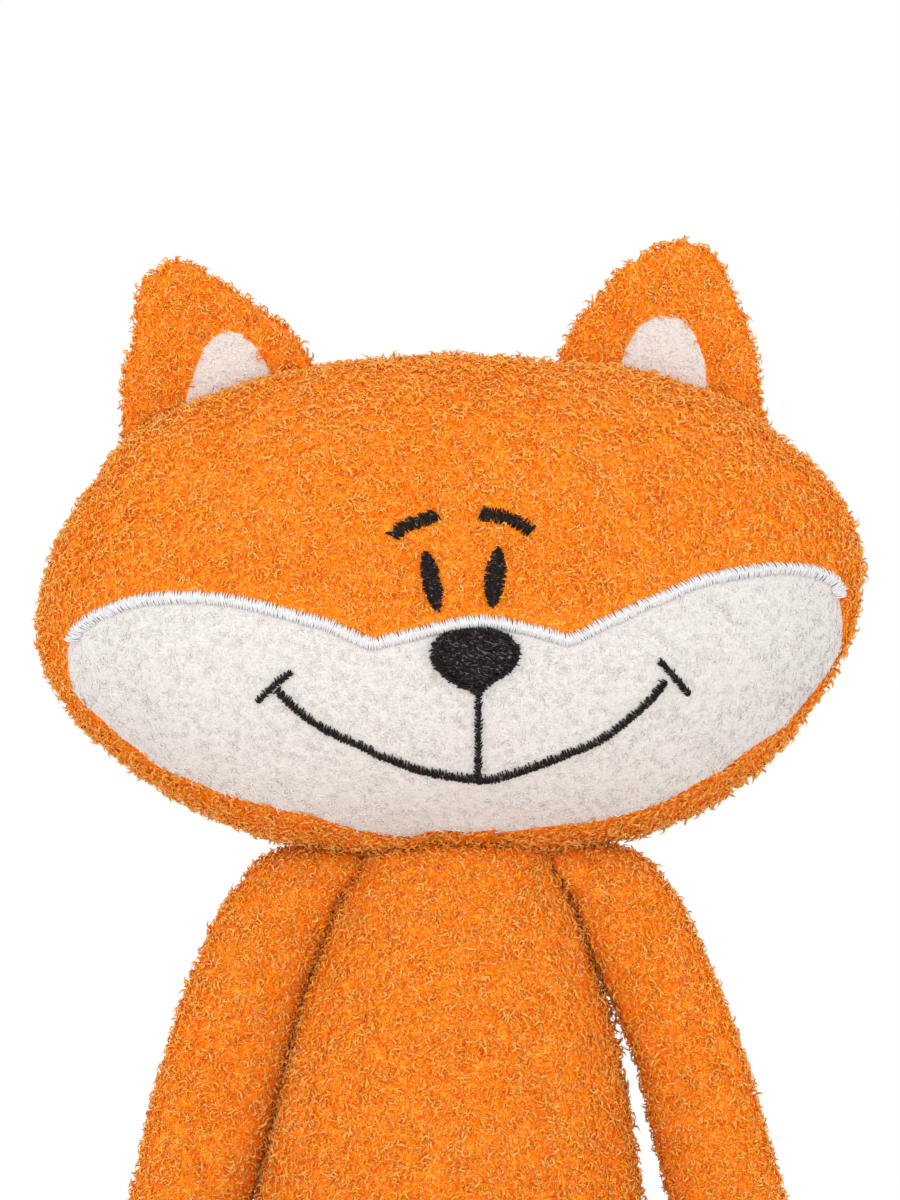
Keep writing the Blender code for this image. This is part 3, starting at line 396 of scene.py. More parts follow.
def cloth_material(name, orange, white=None):
    """The fibres that lie under the curls, with painted shade between them and a painted highlight on their
    crests. Where white is above 0 it is the white cloth.
    """
    material, nodes, shader = new_material(name)
    place = nodes.place()
    tuft = nodes.noise(place, 1.8 * MM, 2)
    upper = fibre_lines(nodes, place, 0.22 * MM, 1.2 * MM)
    lower = fibre_lines(nodes, place, 0.30 * MM, 1.9 * MM)
    height = upper.math("MAXIMUM", lower * 0.7)
    # Painted shade: the deep colour in the low places between the fibre lines and tufts
    share = (height * 0.9 + tuft * 0.8 - 0.4).spread(0, 0.9)
    # Painted highlight: the light colour on the crests of the upper fibres
    crest = (upper * 0.7 + tuft * 0.6 - 0.45).spread(0, 0.9) * 0.7
    colour = nodes.mix(crest, nodes.mix(share, *orange[:2]), orange[2])
    if white:
        pale = nodes.mix(crest, nodes.mix(share, *white[:2]), white[2])
        colour = nodes.mix(nodes.attribute("white").spread(-0.2 * MM, 0.2 * MM), colour, pale)
    feed(nodes, shader, Base_Color=colour, Roughness=0.85 + height * 0.1)
    feed(nodes, shader, Normal=nodes.bump(height * 0.6 + tuft * 0.8, 0.45 * MM, 0.5))
    shader.inputs["Specular IOR Level"].default_value = 0.05
    return material


def thread_material(name, deep, light, shine, roughness, gloss):
    """Embroidery thread: streaked along its plies, with flecks of painted highlight where it would glint."""
    material, nodes, shader = new_material(name)
    place = nodes.place()
    streak = nodes.noise(place, 0.35 * MM, 2, 0.6)
    fleck = nodes.noise(place, 0.8 * MM, 1)
    share = (streak * 0.8 + fleck * 0.6 - 0.4).spread(0, 0.75)
    # Painted highlight: the shine colour on the flecks where the thread glints
    glint = (fleck * 0.6 + streak * 0.5 - 0.62).spread(0, 0.2)
    colour = nodes.mix(glint, nodes.mix(share, deep, light), shine)
    feed(nodes, shader, Base_Color=colour, Roughness=roughness + streak * 0.15)
    feed(nodes, shader, Normal=nodes.bump(streak, 0.08 * MM, 0.7))
    shader.inputs["Specular IOR Level"].default_value = gloss
    return material


# Meshes


def add_object(name, data):
    """A new object in the scene."""
    made = bpy.data.objects.new(name, data)
    bpy.context.scene.collection.objects.link(made)
    return made


def link(name, mesh, material):
    """A visible piece."""
    made = add_object(name, mesh)
    mesh.materials.clear()
    mesh.materials.append(material)
    mesh.shade_smooth()
    return made


def baked(source):
    """The object's mesh with its modifiers applied."""
    bpy.context.view_layer.update()
    shown = source.evaluated_get(bpy.context.evaluated_depsgraph_get())
    return bpy.data.meshes.new_from_object(shown)


def coordinates(mesh):
    co = np.empty(len(mesh.vertices) * 3, np.float32)
    mesh.vertices.foreach_get("co", co)
    return co.reshape(-1, 3).astype(float)


def set_coordinates(mesh, co):
    mesh.vertices.foreach_set("co", np.asarray(co, np.float32).ravel())
    mesh.update()


def normals(mesh):
    return np.array([tuple(item.vector) for item in mesh.vertex_normals], float)


def over_floor(mesh, gap):
    """The mesh with what lies under a height pressed up to it."""
    co = coordinates(mesh)
    co[:, 2] = np.maximum(co[:, 2], gap)
    set_coordinates(mesh, co)
    return mesh


def store(mesh, name, values):
    attribute = mesh.attributes.new(name, "FLOAT", "POINT")
    attribute.data.foreach_set("value", np.asarray(values, np.float32))


def gathered(meshes):
    """One bmesh of several meshes."""
    bm = bmesh.new()
    for mesh in meshes:
        bm.from_mesh(mesh)
    return bm


def mesh_of(bm, name):
    """The bmesh as a mesh of its own."""
    mesh = bpy.data.meshes.new(name)
    bm.to_mesh(mesh)
    bm.free()
    return mesh


def tree_of(*meshes):
    """What answers where the nearest surface of some meshes is, and where a ray meets it."""
    bm = gathered(meshes)
    tree = BVHTree.FromBMesh(bm)
    bm.free()
    return tree


def cad_meshes(names):
    return [frame["nodes"][name].data for name in names]


def welded(name):
    """A CAD node's mesh with its faces joined."""
    bm = gathered(cad_meshes([name]))
    bmesh.ops.remove_doubles(bm, verts=bm.verts, dist=0.01 * MM)
    return mesh_of(bm, "welded")


def nearness(mesh, names):
    """The distance of each point from the nearest of some CAD nodes."""
    tree = tree_of(*cad_meshes(names))
    return np.array([tree.find_nearest(Vector(point))[3] for point in coordinates(mesh)])


def modified(mesh, kind, **settings):
    """The mesh after one modifier."""
    worker = add_object("worker", mesh)
    modifier = worker.modifiers.new(kind.lower(), kind)
    for name, value in settings.items():
        setattr(modifier, name, value)
    made = baked(worker)
    bpy.data.objects.remove(worker)
    return made


def remeshed(mesh, voxel):
    return modified(mesh, "REMESH", mode="VOXEL", voxel_size=voxel)


def eased_verts(mesh, rounds):
    """The mesh with its points drawn towards their neighbours."""
    bm = gathered([mesh])
    axes = {f"use_axis_{axis}": True for axis in "xyz"}
    for _ in range(rounds):
        bmesh.ops.smooth_vert(bm, verts=bm.verts, factor=0.5, **axes)
    bm.to_mesh(mesh)
    bm.free()
    return mesh


def refined(mesh, rounds):
    """The mesh in finer faces, eased."""
    return eased_verts(modified(mesh, "SUBSURF", levels=1, render_levels=1), rounds)


def swollen(mesh, cap, pinned):
    """The mesh as cloth that its stuffing presses out, no point further than the cap."""
    worker = add_object("worker", mesh)
    start = coordinates(mesh)
    pins = worker.vertex_groups.new(name="sewn")
    pins.add([int(k) for k in np.flatnonzero(pinned)], 1.0, "REPLACE")
    cloth = worker.modifiers.new("cloth", "CLOTH")
    cloth.settings.use_pressure = True
    cloth.settings.uniform_pressure_force = SWELL_PRESSURE
    cloth.settings.vertex_group_mass = "sewn"
    cloth.settings.effector_weights.gravity = 0
    cloth.collision_settings.use_collision = False
    for moment in range(1, SWELL_STEPS + 1):
        bpy.context.scene.frame_set(moment)
    done = baked(worker)
    moved = coordinates(done) - start
    bpy.context.scene.frame_set(1)
    bpy.data.objects.remove(worker)
    length = np.linalg.norm(moved, axis=1, keepdims=True)
    share = np.minimum(1, cap / np.maximum(length, 1e-9))
    set_coordinates(mesh, start + moved * share)
    return mesh


def evened(values, edges, rounds):
    """Values at a mesh's points, each drawn towards those of its neighbours."""
    for _ in range(rounds):
        total, count = np.zeros(len(values)), np.zeros(len(values))
        for near, far in ((0, 1), (1, 0)):
            np.add.at(total, edges[:, near], values[edges[:, far]])
            np.add.at(count, edges[:, near], 1)
        values = 0.5 * values + 0.5 * total / np.maximum(count, 1)
    return values


def laid_on(mesh, tree, share, beyond=0):
    """The mesh moved by a share of its evened distance to the outside of its panels, and further beyond."""
    co, out = coordinates(mesh), normals(mesh)
    short = np.zeros(len(co))
    for k, (point, normal) in enumerate(zip(co, out)):
        way = Vector(normal)
        hit = tree.ray_cast(Vector(point) + way * PANEL_OUTSIDE * MM, -way, PANEL_DEPTH * MM)[0]
        if hit is not None:
            gap = (hit - Vector(point)).dot(way)
            short[k] = gap if abs(gap) < PANEL_GAP * MM else 0
    edges = np.empty(len(mesh.edges) * 2, np.int32)
    mesh.edges.foreach_get("vertices", edges)
    short = evened(short, edges.reshape(-1, 2), 6)
    set_coordinates(mesh, co + out * (short * share + beyond)[:, None])
    return mesh


def skin_mesh(stuffing, panels, voxel, cap):
    """A stuffed skin: the stuffing's form swells as cloth, and settles at its CAD panels."""
    mesh = remeshed(welded(stuffing), voxel)
    mesh = swollen(mesh, cap, nearness(mesh, panels) > SEWN_DEPTH)
    mesh = refined(mesh, 4)
    tree = tree_of(*cad_meshes(panels))
    mesh = laid_on(mesh, tree, 1.0)
    return over_floor(laid_on(mesh, tree, 0.9, PLUMP), CLOTH_LOWEST)


# Skins

MATERIALS = {
    "orange_cloth": cloth_material("orange_cloth", ORANGE),
    "face_cloth": cloth_material("face_cloth", ORANGE, WHITE),
    "orange_pile": pile_material("orange_pile", *ORANGE, 0.35, ORANGE_SHEEN),
    "white_pile": pile_material("white_pile", *WHITE, 0.15, WHITE_SHEEN),
    "white_thread": thread_material("white_thread", *WHITE_THREAD, 0.35, 0.3),
    "black_thread": thread_material("black_thread", *BLACK_THREAD, 0.45, 0.12),
}

joints = {joint["name"]: joint for joint in frame["joints"]}


def joint_place(name):
    return Vector(joints[name]["pos_m"])


HEAD_SIDE = Vector(joints["head_nod"]["axis"]).normalized()
HEAD_DEPTHWISE = UP.cross(HEAD_SIDE).normalized()
HEAD_MIDDLE = joint_place("head_nod") + HEAD_SIDE.cross(HEAD_DEPTHWISE) * HEAD_WIDEST
BODY_MIDDLE = Vector((0, 0, 55 * MM))

# The stuffed forms: body, stuffing and panels, and in millimetres the voxel size and the most they swell
FORMS = {
    "head": ("head", "head_stuffing", ("head_back_panel", "head_face_panel", "muzzle_panel"), 4.5, 3.2),
    "body": ("torso", "body_stuffing", ("body_front_panel", "body_back_panel"), 4.5, 3.0),
    "tail": ("tail", "tail_stuffing", ("tail_skin", "tail_tip"), 4.0, 2.6),
}
for side, _ in SIDES:
    for name in (f"{side}_arm", f"{side}_leg"):
        FORMS[name] = (name, f"{name}_stuffing", (f"{name}_skin",), 4.0, 2.6)

# The finished skins, what each rides on with the CAD nodes that it stands for, and those that cross a joint
skins, held, crossing = {}, {}, {}
for name, (body, stuffing, panels, voxel, cap) in FORMS.items():
    mesh = skin_mesh(stuffing, panels, voxel * MM, cap * MM)
    mesh.name = f"{name}_cloth"
    skins[name] = mesh
    held[name] = (body, (stuffing, *panels))


def kept_outside(co, tree, gap):
    """Points, of which those inside a form or nearer to it than a gap are moved out to the gap."""
    for k, point in enumerate(co):
        near, normal = tree.find_nearest(Vector(point))[:2]
        if (Vector(point) - near).dot(normal) < gap:
            co[k] = near + normal * gap
    return co


def ring_distance(points, ring):
    """The distance of each flat point from a closed outline, below 0 inside it."""
    ring = np.array(ring)
    nearest = np.full(len(points), np.inf)
    inside = np.zeros(len(points), bool)
    for a, b in zip(ring, np.roll(ring, -1, axis=0)):
        way = b - a
        t = np.clip((points - a) @ way / (way @ way), 0, 1)
        nearest = np.minimum(nearest, np.linalg.norm(points - a - t[:, None] * way, axis=1))
        level = (a[1] > points[:, 1]) != (b[1] > points[:, 1])
        cross = way[0] * (points[:, 1] - a[1]) / (way[1] if way[1] else 1e-9) + a[0]
        inside ^= level & (points[:, 0] < cross)
    return np.where(inside, -nearest, nearest)


def eased_step(value, low, high):
    """From 0 at low to 1 at high, for many values."""
    t = np.clip((value - low) / (high - low), 0, 1)
    return t * t * (3 - 2 * t)


def fill_out_head(mesh):
    """The head's outline is made fuller on some sides."""
    co, out = coordinates(mesh), normals(mesh)
    middle = np.array(OUTLINE_MIDDLE)
    turn = np.degrees(np.arctan2(co[:, 2] - middle[2], co[:, 0] - middle[0]))
    table = np.array(HEAD_FULLNESS)
    full = np.interp(turn, table[:, 0], table[:, 1], period=360) * MM
    rim = 1 - (out @ np.array(HEAD_DEPTHWISE)) ** 2
    set_coordinates(mesh, co + out * (full * rim)[:, None])


def fit_body(mesh):
    """The body's top is pressed against the chin, and its own left side is made a little fuller."""
    co, out = coordinates(mesh), normals(mesh)
    low, top = eased_step(-co[:, 2], -110 * MM, -98 * MM), eased_step(co[:, 2], 116 * MM, 134 * MM)
    co[:, 0] += BODY_SIDE * low * eased_step(out[:, 0], 0, 1)
    co[:, 2] += BODY_RISE * top
    set_coordinates(mesh, kept_outside(co, head_tree, BODY_GAP))


def fit_arm(mesh, side, sign):
    """The arm is made fuller on some sides, and filled in where it is sewn to the shoulder."""
    hinge = np.array(joint_place(f"{side}_shoulder"))
    co, out = coordinates(mesh), normals(mesh)
    outside = eased_step(out[:, 0] * sign, -1.0, 1.0)
    table = np.array(ARM_FULLNESS[side])
    outer, inner = (np.interp(co[:, 2] / MM, table[:, 0], table[:, k]) for k in (1, 2))
    co[:, 0] += sign * (inner + (outer - inner) * outside) * MM
    height = eased_step(co[:, 2], hinge[2] - 2 * MM, hinge[2] + 8 * MM)
    inner = eased_step(-(co[:, 0] - hinge[0]) * sign, -SHOULDER_REACH, SHOULDER_REACH)
    co[:, 0] -= sign * SHOULDER_REACH * height * inner
    co[:, 2] += SHOULDER_RISE * height * inner
    co = kept_outside(co, body_tree, SEAM_GAP)
    set_coordinates(mesh, kept_outside(co, head_tree, ARM_GAP))


fill_out_head(skins["head"])
head_tree = tree_of(skins["head"])
fit_body(skins["body"])
body_tree = tree_of(skins["body"])
for side, sign in SIDES:
    fit_arm(skins[f"{side}_arm"], side, sign)


def ear_mesh(side):
    """An ear from its outline: a flat form that swells between its sewn edges, and sits on the crest."""
    root = joint_place(f"{side}_ear_fold")
    bm = bmesh.new()
    corners = []
    for x, z in EAR_OUTLINES[side]:
        flat = Vector((x * MM, 0, z * MM))
        flat.y = (root - flat).dot(HEAD_DEPTHWISE) / HEAD_DEPTHWISE.y
        corners.append(bm.verts.new(flat - HEAD_DEPTHWISE * EAR_HALF_THICKNESS))
    face = bm.faces.new(corners)
    bmesh.ops.inset_region(bm, faces=[face], thickness=EAR_INSET, use_even_offset=True)
    bmesh.ops.delete(bm, geom=[rim for rim in bm.faces if rim is not face], context="FACES")
    pushed = bmesh.ops.extrude_face_region(bm, geom=list(bm.faces))
    moved = [item for item in pushed["geom"] if isinstance(item, bmesh.types.BMVert)]
    bmesh.ops.translate(bm, verts=moved, vec=HEAD_DEPTHWISE * EAR_HALF_THICKNESS * 2)
    bmesh.ops.recalc_face_normals(bm, faces=bm.faces)
    mesh = remeshed(mesh_of(bm, f"{side}_ear_cloth"), EAR_VOXEL)
    flat = coordinates(mesh)[:, [0, 2]] / MM
    edge = -ring_distance(flat, EAR_OUTLINES[side]) < EAR_SEWN
    mesh = refined(swollen(mesh, EAR_SWELL, edge), 3)
    set_coordinates(mesh, kept_outside(coordinates(mesh), head_tree, SEAM_GAP))
    mesh = eased_verts(mesh, 1)
    flat = coordinates(mesh)[:, [0, 2]] / MM
    within = -ring_distance(flat, PATCH_OUTLINES[side]) * MM
    front = normals(mesh) @ np.array(HEAD_DEPTHWISE) < 0
    store(mesh, "white", np.where(front, within, -np.abs(within) - MM))
    return mesh


def drawn_in(name, hinge, out, pull, reach):
    """A limb's root is drawn against the cloth that it is sewn to."""
    co = coordinates(skins[name])
    along = (co - np.array(hinge)) @ np.array(out)
    near = eased_step(-along, -reach, 0)
    set_coordinates(skins[name], co - np.array(out) * (pull * near)[:, None])


for side, sign in SIDES:
    name = f"{side}_ear"
    skins[name] = ear_mesh(side)
    held[name] = (name, tuple(f"{name}_{node}" for node in ("front", "back", "patch", "stuffing")))
    root = joint_place(f"{name}_fold")
    rise = Vector(joints[f"{name}_fold"]["axis"]).cross(HEAD_DEPTHWISE).normalized()
    crossing[name] = ("head", name, root - rise * 3 * MM, root + rise * 9 * MM)
    name = f"{side}_arm"
    hinge = joint_place(f"{side}_shoulder")
    out = Vector((sign, 0, 0))
    crossing[name] = ("torso", name, hinge + (UP * 12 - out * 6) * MM, hinge + (out * 2 - UP * 8) * MM)
    name = f"{side}_leg"
    hinge = joint_place(f"{side}_hip")
    out = Vector(joints[f"{side}_hip"]["axis"]).cross(UP)
    drawn_in(name, hinge, out, 1.4 * MM, 12 * MM)
    crossing[name] = ("torso", name, hinge - out * 2 * MM, hinge + out * 8 * MM)

hinge = joint_place("tail_swing")
drawn_in("tail", hinge, BACKWARD, 1.8 * MM, 10 * MM)
crossing["tail"] = ("torso", "tail", hinge, hinge + BACKWARD * 7 * MM)


def neck_mesh():
    """A collar that spreads between the body and the chin."""
    mesh = refined(remeshed(welded("neck_stuffing"), NECK_VOXEL), 2)
    co = coordinates(mesh)
    post = np.array(joint_place("neck_turn"))
    spread = eased_step(-co[:, 2], -148 * MM, -143 * MM)[:, None]
    co[:, :2] += (co - post)[:, :2] * np.array(NECK_SPREAD) * spread
    co = kept_outside(co, head_tree, SEAM_GAP)
    set_coordinates(mesh, kept_outside(co, body_tree, SEAM_GAP))
    return eased_verts(mesh, 1)


def front_view(co):
    """X and Z of points as they show in the front view, in millimetres."""
    middle = np.array(VIEW_MIDDLE)
    nearer = VIEW_DISTANCE / (VIEW_DISTANCE + co[:, 1])
    return (middle + (co - middle) * nearer[:, None])[:, [0, 2]] / MM


def muzzle_depth(mesh):
    """How far each point lies within the muzzle: within its outline, not far back and facing forward."""
    co, depthwise = coordinates(mesh), np.array(HEAD_DEPTHWISE)
    within = -ring_distance(front_view(co), BORDER + MUZZLE_FOOT) * MM
    behind = MUZZLE_BACK - (co - np.array(HEAD_MIDDLE)) @ depthwise
    turned = (MUZZLE_TURN - normals(mesh) @ depthwise) * 40 * MM
    return np.minimum(within, np.minimum(behind, turned))


skins["neck"] = neck_mesh()
held["neck"] = ("neck", ("neck_collar", "neck_stuffing"))
post = joint_place("neck_turn")
crossing["neck"] = ("neck", "head", post - UP * 9 * MM, post - UP * 3 * MM)

store(skins["head"], "white", muzzle_depth(skins["head"]))
tail = skins["tail"]
store(tail, "white", nearness(tail, ("tail_skin",)) - nearness(tail, ("tail_tip",)))


# Embroidery

face_tree = tree_of(skins["head"])


def on_face(x, z, lift):
    """A point over the face's cloth, at X and Z millimetres of the front view."""
    spot = Vector((x * MM, 0, z * MM))
    way = (spot - VIEW_POINT).normalized()
    hit, normal = face_tree.ray_cast(spot - way * 0.2, way)[:2]
    if hit is None:
        hit, normal = face_tree.find_nearest(spot - way * 20 * MM)[:2]
    return hit + normal * lift * MM


def threads(name, runs, width, material):
    """Stitches: each run of points is one thread, thinner at its ends."""
    curve = bpy.data.curves.new(name, "CURVE")
    curve.dimensions = "3D"
    curve.bevel_depth = width * MM / 2
    curve.bevel_resolution = 1
    curve.use_fill_caps = True
    for run in runs:
        spline = curve.splines.new("POLY")
        spline.points.add(len(run) - 1)
        for k, (point, place) in enumerate(zip(spline.points, run)):
            point.co = (*place, 1)
            point.radius = 0.55 if k in (0, len(run) - 1) else 1
    worker = add_object(name, curve)
    mesh = baked(worker)
    bpy.data.objects.remove(worker)
    mesh.name = name
    return link(name, mesh, MATERIALS[material])


def smooth_path(points, step):
    """Points every step along a smooth curve through some pairs, with the direction at each."""
    points = [Vector(point) for point in points]
    fine = []
    for k in range(len(points) - 1):
        before = points[max(k - 1, 0)]
        after = points[min(k + 2, len(points) - 1)]
        for i in range(16):
            t = i / 16
            a, b = points[k], points[k + 1]
            square, cube = 2 * before - 5 * a + 4 * b - after, 3 * a - before - 3 * b + after
            fine.append(0.5 * (2 * a + (b - before) * t + square * t * t + cube * t**3))
    fine.append(points[-1])
    lengths = [0.0]
    for a, b in zip(fine, fine[1:]):
        lengths.append(lengths[-1] + (b - a).length)
    count = max(2, round(lengths[-1] / step))
    found, k = [], 0
    for i in range(count + 1):
        want = lengths[-1] * i / count
        while k < len(fine) - 2 and lengths[k + 1] < want:
            k += 1
        t = (want - lengths[k]) / max(lengths[k + 1] - lengths[k], 1e-9)
        found.append((fine[k].lerp(fine[k + 1], t), (fine[k + 1] - fine[k]).normalized()))
    return found


def chance(*key):
    """A steady number from 0 to 1 for a place in the work."""
    return noise.cell(Vector([value * 7.31 + 0.37 for value in (*key, 0, 0)[:3]]))


def satin(path, width, step, lift, key, spike, slant=0.0):
    """Stitches across a path, side by side, with ragged ends."""
    runs = []
    for k, (place, along) in enumerate(smooth_path(path, step)):
        across = Vector((-along.y, along.x))
        across = (across + along * (slant + 0.25 * (chance(k, key, 1) - 0.5))).normalized()
        up = width * (0.5 + spike * chance(k, key, 2))
        down = width * (0.5 + 0.6 * spike * chance(k, key, 3))
        run = []
        for t in ACROSS:
            spot = place + across * (up if t > 0 else down) * t
            height = lift * (0.15 + 0.85 * (1 - t * t)) + 0.12 * chance(k, key, 4)
            run.append(on_face(spot.x, spot.y, height))
        runs.append(run)
    return runs


def inside(x, z, ring):
    hits = False
    for a, b in zip(ring, ring[1:] + ring[:1]):
        if (a.y > z) != (b.y > z) and x < (b.x - a.x) * (z - a.y) / (b.y - a.y) + a.x:
            hits = not hits
    return hits


def nose_runs():
    """Satin stitches round the nose's edge, and rows of short overlapping stitches within it."""
    middle = Vector(NOSE_MIDDLE)
    edge = [middle + (Vector(spot) - middle) * NOSE_SHARE for spot in NOSE]
    runs = satin(edge, 1.7, 0.36, 1.9, 7, 0.2)
    outline = [spot for spot, _ in smooth_path(edge, 1.0)]
    for row in range(NOSE_ROWS):
        z = NOSE_TOP - NOSE_HEIGHT * row / NOSE_ROWS
        x = NOSE_LEFT + chance(row, 5)
        while x < NOSE_RIGHT:
            length = 1.8 + 1.8 * chance(row, x, 3)
            if inside(x + length / 2, z, outline):
                drop = 0.8 * (chance(row, x, 9) - 0.5)
                height = 2.0 + 0.35 * chance(row, x, 8)
                run = []
                for t in (0, 0.3, 0.7, 1):
                    run.append(on_face(x + length * t, z + drop * (t - 0.5), height - abs(t - 0.5)))
                runs.append(run)
            x += length * 0.8
    return runs


def eye_runs(side, sign):
    """Two layers of stitches across an upright oval."""
    x, z, tilt, half_height, half_width = EYES[side]
    tilt = radians(tilt)
    runs = []
    for row in range(EYE_ROWS + 1):
        t = 2 * row / EYE_ROWS - 1
        half = half_width * max(0.10, 1 - abs(t) ** 2.6) ** 0.6
        for layer in range(2):
            reach = half * (0.95 + 0.16 * chance(row, layer, sign + 3))
            dip = 0.5 * (chance(row, layer, sign + 6) - 0.5)
            run = []
            for s in ACROSS:
                dx, dz = reach * s, half_height * t + dip * s
                spot = (x + dx * cos(tilt) + dz * sin(tilt), z + dz * cos(tilt) - dx * sin(tilt))
                run.append(on_face(*spot, 0.5 + 1.0 * (1 - s * s) + 0.25 * layer))
            runs.append(run)
    return runs


def sewn_on(made, node):
    """The stitches stand for a CAD node and move with the head."""
    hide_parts(node)
    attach(made, "head")


border = threads("muzzle_border", satin(BORDER, 2.9, 0.26, 1.4, 1, 0.1), 0.36, "white_thread")
smile = threads("smile_stitches", satin(SMILE, 1.6, 0.36, 1.3, 2, 0.3), 0.40, "black_thread")
lip = threads("lip_stitches", satin(LIP, 1.5, 0.36, 1.3, 3, 0.3), 0.40, "black_thread")
for side, sign in SIDES:
    runs = satin(CHEEKS[side], 1.5, 0.34, 1.3, 4 + sign, 0.3)
    sewn_on(threads(f"{side}_cheek_stitches", runs, 0.40, "black_thread"), f"{side}_cheek_stitching")
nose = threads("nose_stitches", nose_runs(), 0.45, "black_thread")
for side, sign in SIDES:
    eye = threads(f"{side}_eye_stitches", eye_runs(side, sign), 0.42, "black_thread")
    sewn_on(eye, f"{side}_eye_stitching")
    runs = satin(BROWS[side], 2.9, 0.32, 1.6, 20 + sign, 0.2, 0.2 * sign)
    sewn_on(threads(f"{side}_brow_stitches", runs, 0.42, "black_thread"), f"{side}_brow_stitching")
sewn_on(border, "muzzle_border_stitching")
sewn_on(smile, "smile_stitching")
sewn_on(lip, "lip_stitching")
sewn_on(nose, "nose_stitching")


# Pile


def curl(name, length, width, turn, sway):
    """One curl of yarn, thick to two thirds of its length and then drawn to a point."""
    bm = bmesh.new()
    bmesh.ops.create_cone(bm, cap_ends=True, segments=3, radius1=1, radius2=0, depth=1)
    bmesh.ops.translate(bm, verts=bm.verts, vec=(0, 0, 0.5))
    for level in (0.36, 0.70):
        geometry = [*bm.verts, *bm.edges, *bm.faces]
        bmesh.ops.bisect_plane(bm, geom=geometry, plane_co=(0, 0, level), plane_no=(0, 0, 1))
    bmesh.ops.triangulate(bm, faces=bm.faces)
    mesh = mesh_of(bm, name)
    tips = []
    for vert in mesh.vertices:
        share = vert.co.z
        tips.append(share)
        thick = width / 2 * (1 if share < 0.5 else 0.85) * (share < 0.99)
        around = Vector((vert.co.x, vert.co.y, 0))
        if around.length > 0:
            around = around.normalized() * thick
        bend = turn * share
        radius = length / turn
        middle = Vector((radius * (1 - cos(bend)), sway * sin(pi * share), radius * sin(bend)))
        vert.co = middle + Matrix.Rotation(bend, 3, "Y") @ around
    store(mesh, "tip", tips)
    mesh.shade_smooth()
    return mesh


def curls(length, width, turns):
    """Several curls of unlike bend, in a collection of their own."""
    kept = bpy.data.collections.new("curls")
    for k, turn in enumerate(turns):
        share = 0.8 + 0.4 * chance(k, 31)
        sway = length * 0.22 * (chance(k, 32) - 0.5) * 2
        mesh = curl(f"curl_{k}", length * share * MM, width * MM, radians(turn), sway * MM)
        kept.objects.link(bpy.data.objects.new(f"curl_{k}", mesh))
    return kept


def spun(nodes, rotation, turn):
    """A rotation turned further about an axis of its own."""
    inputs = {"Rotation": rotation, "Rotate By": turn}
    return nodes.add("FunctionNodeRotateRotation", {"rotation_space": "LOCAL"}, inputs)


def labelled(nodes, geometry, name, kind, value):
    """Curls with a value stored on each of them."""
    inputs = {"Geometry": geometry, "Name": name, "Value": value}
    settings = {"data_type": kind, "domain": "INSTANCE"}
    return nodes.add("GeometryNodeStoreNamedAttribute", settings, inputs)


def pile_tree(name, spacing, kind, seed, lean, where, sectors, clear_of, size):
    """Nodes that plant curls on a skin: in some sectors, and where its white is above or below 0."""
    tree = bpy.data.node_groups.new(name, "GeometryNodeTree")
    for way in ("INPUT", "OUTPUT"):
        tree.interface.new_socket("Geometry", in_out=way, socket_type="NodeSocketGeometry")
    nodes = Nodes(tree)
    skin = nodes.add("NodeGroupInput")
    inputs = {"Mesh": skin, "Distance Min": spacing * MM, "Density Max": MOST_CURLS, "Seed": seed}
    points = nodes.add("GeometryNodeDistributePointsOnFaces", {"distribute_method": "POISSON"}, inputs)
    standing, ground = (Value(nodes, points.socket.node.outputs[key]) for key in ("Rotation", "Normal"))
    place = nodes.add("GeometryNodeInputPosition")

    # Curls that aren't planted: of the other colour, in other sectors or under stitches
    gone = []
    if where is not None:
        tone = nodes.add("GeometryNodeInputNamedAttribute", {"data_type": "FLOAT"}, {"Name": "white"})
        gone.append((tone < 0) if where else (tone > 0))
    for corner, way in sectors:
        gone.append(nodes.vector("DOT_PRODUCT", nodes.vector("SUBTRACT", place, corner), way, "Value") < 0)
    far = []
    for other in clear_of:
        stitches = nodes.add("GeometryNodeObjectInfo", None, {"Object": other}, "Geometry")
        far.append(nodes.add("GeometryNodeProximity", None, {0: stitches}, "Distance"))
    reach = outermost(far, "MINIMUM")
    if reach is not None:
        gone.append(reach < 0.25 * MM)
    gone = outermost(gone, "MAXIMUM")
    if gone is not None:
        inputs = {"Geometry": points, "Selection": gone}
        points = nodes.add("GeometryNodeDeleteGeometry", {"domain": "POINT"}, inputs)

    # Each curl's turn, lean and size
    swirl = nodes.noise(place, SWIRL_SIZE, 1) * (3 * tau) + nodes.random(seed + 1, -0.8, 0.8)
    turned = spun(nodes, standing, nodes.add("ShaderNodeCombineXYZ", None, {2: swirl}))
    lower = nodes.random(seed + 2, *lean)
    turned = spun(nodes, turned, nodes.add("ShaderNodeCombineXYZ", None, {1: lower}))
    clump = nodes.noise(place, CLUMP_SIZE, 1)
    scale = nodes.random(seed + 3, 0.8, 1.15) * (0.55 + clump * 0.9) * size
    if reach is not None:
        scale = scale * (0.5 + 0.5 * reach.spread(0.3 * MM, 1.6 * MM))

    info = {"Collection": kind, "Separate Children": True, "Reset Children": True}
    variants = nodes.add("GeometryNodeCollectionInfo", None, info)
    inputs = {"Points": points, "Instance": variants, "Pick Instance": True}
    inputs |= {"Rotation": turned, "Scale": scale}
    planted = nodes.add("GeometryNodeInstanceOnPoints", None, inputs)
    planted = labelled(nodes, planted, "shade", "FLOAT", nodes.random(seed + 4))
    planted = labelled(nodes, planted, "ground", "FLOAT_VECTOR", ground)
    whole = nodes.add("GeometryNodeRealizeInstances", None, {"Geometry": planted})
    tree.links.new(whole.socket, tree.nodes.new("NodeGroupOutput").inputs[0])
    return tree


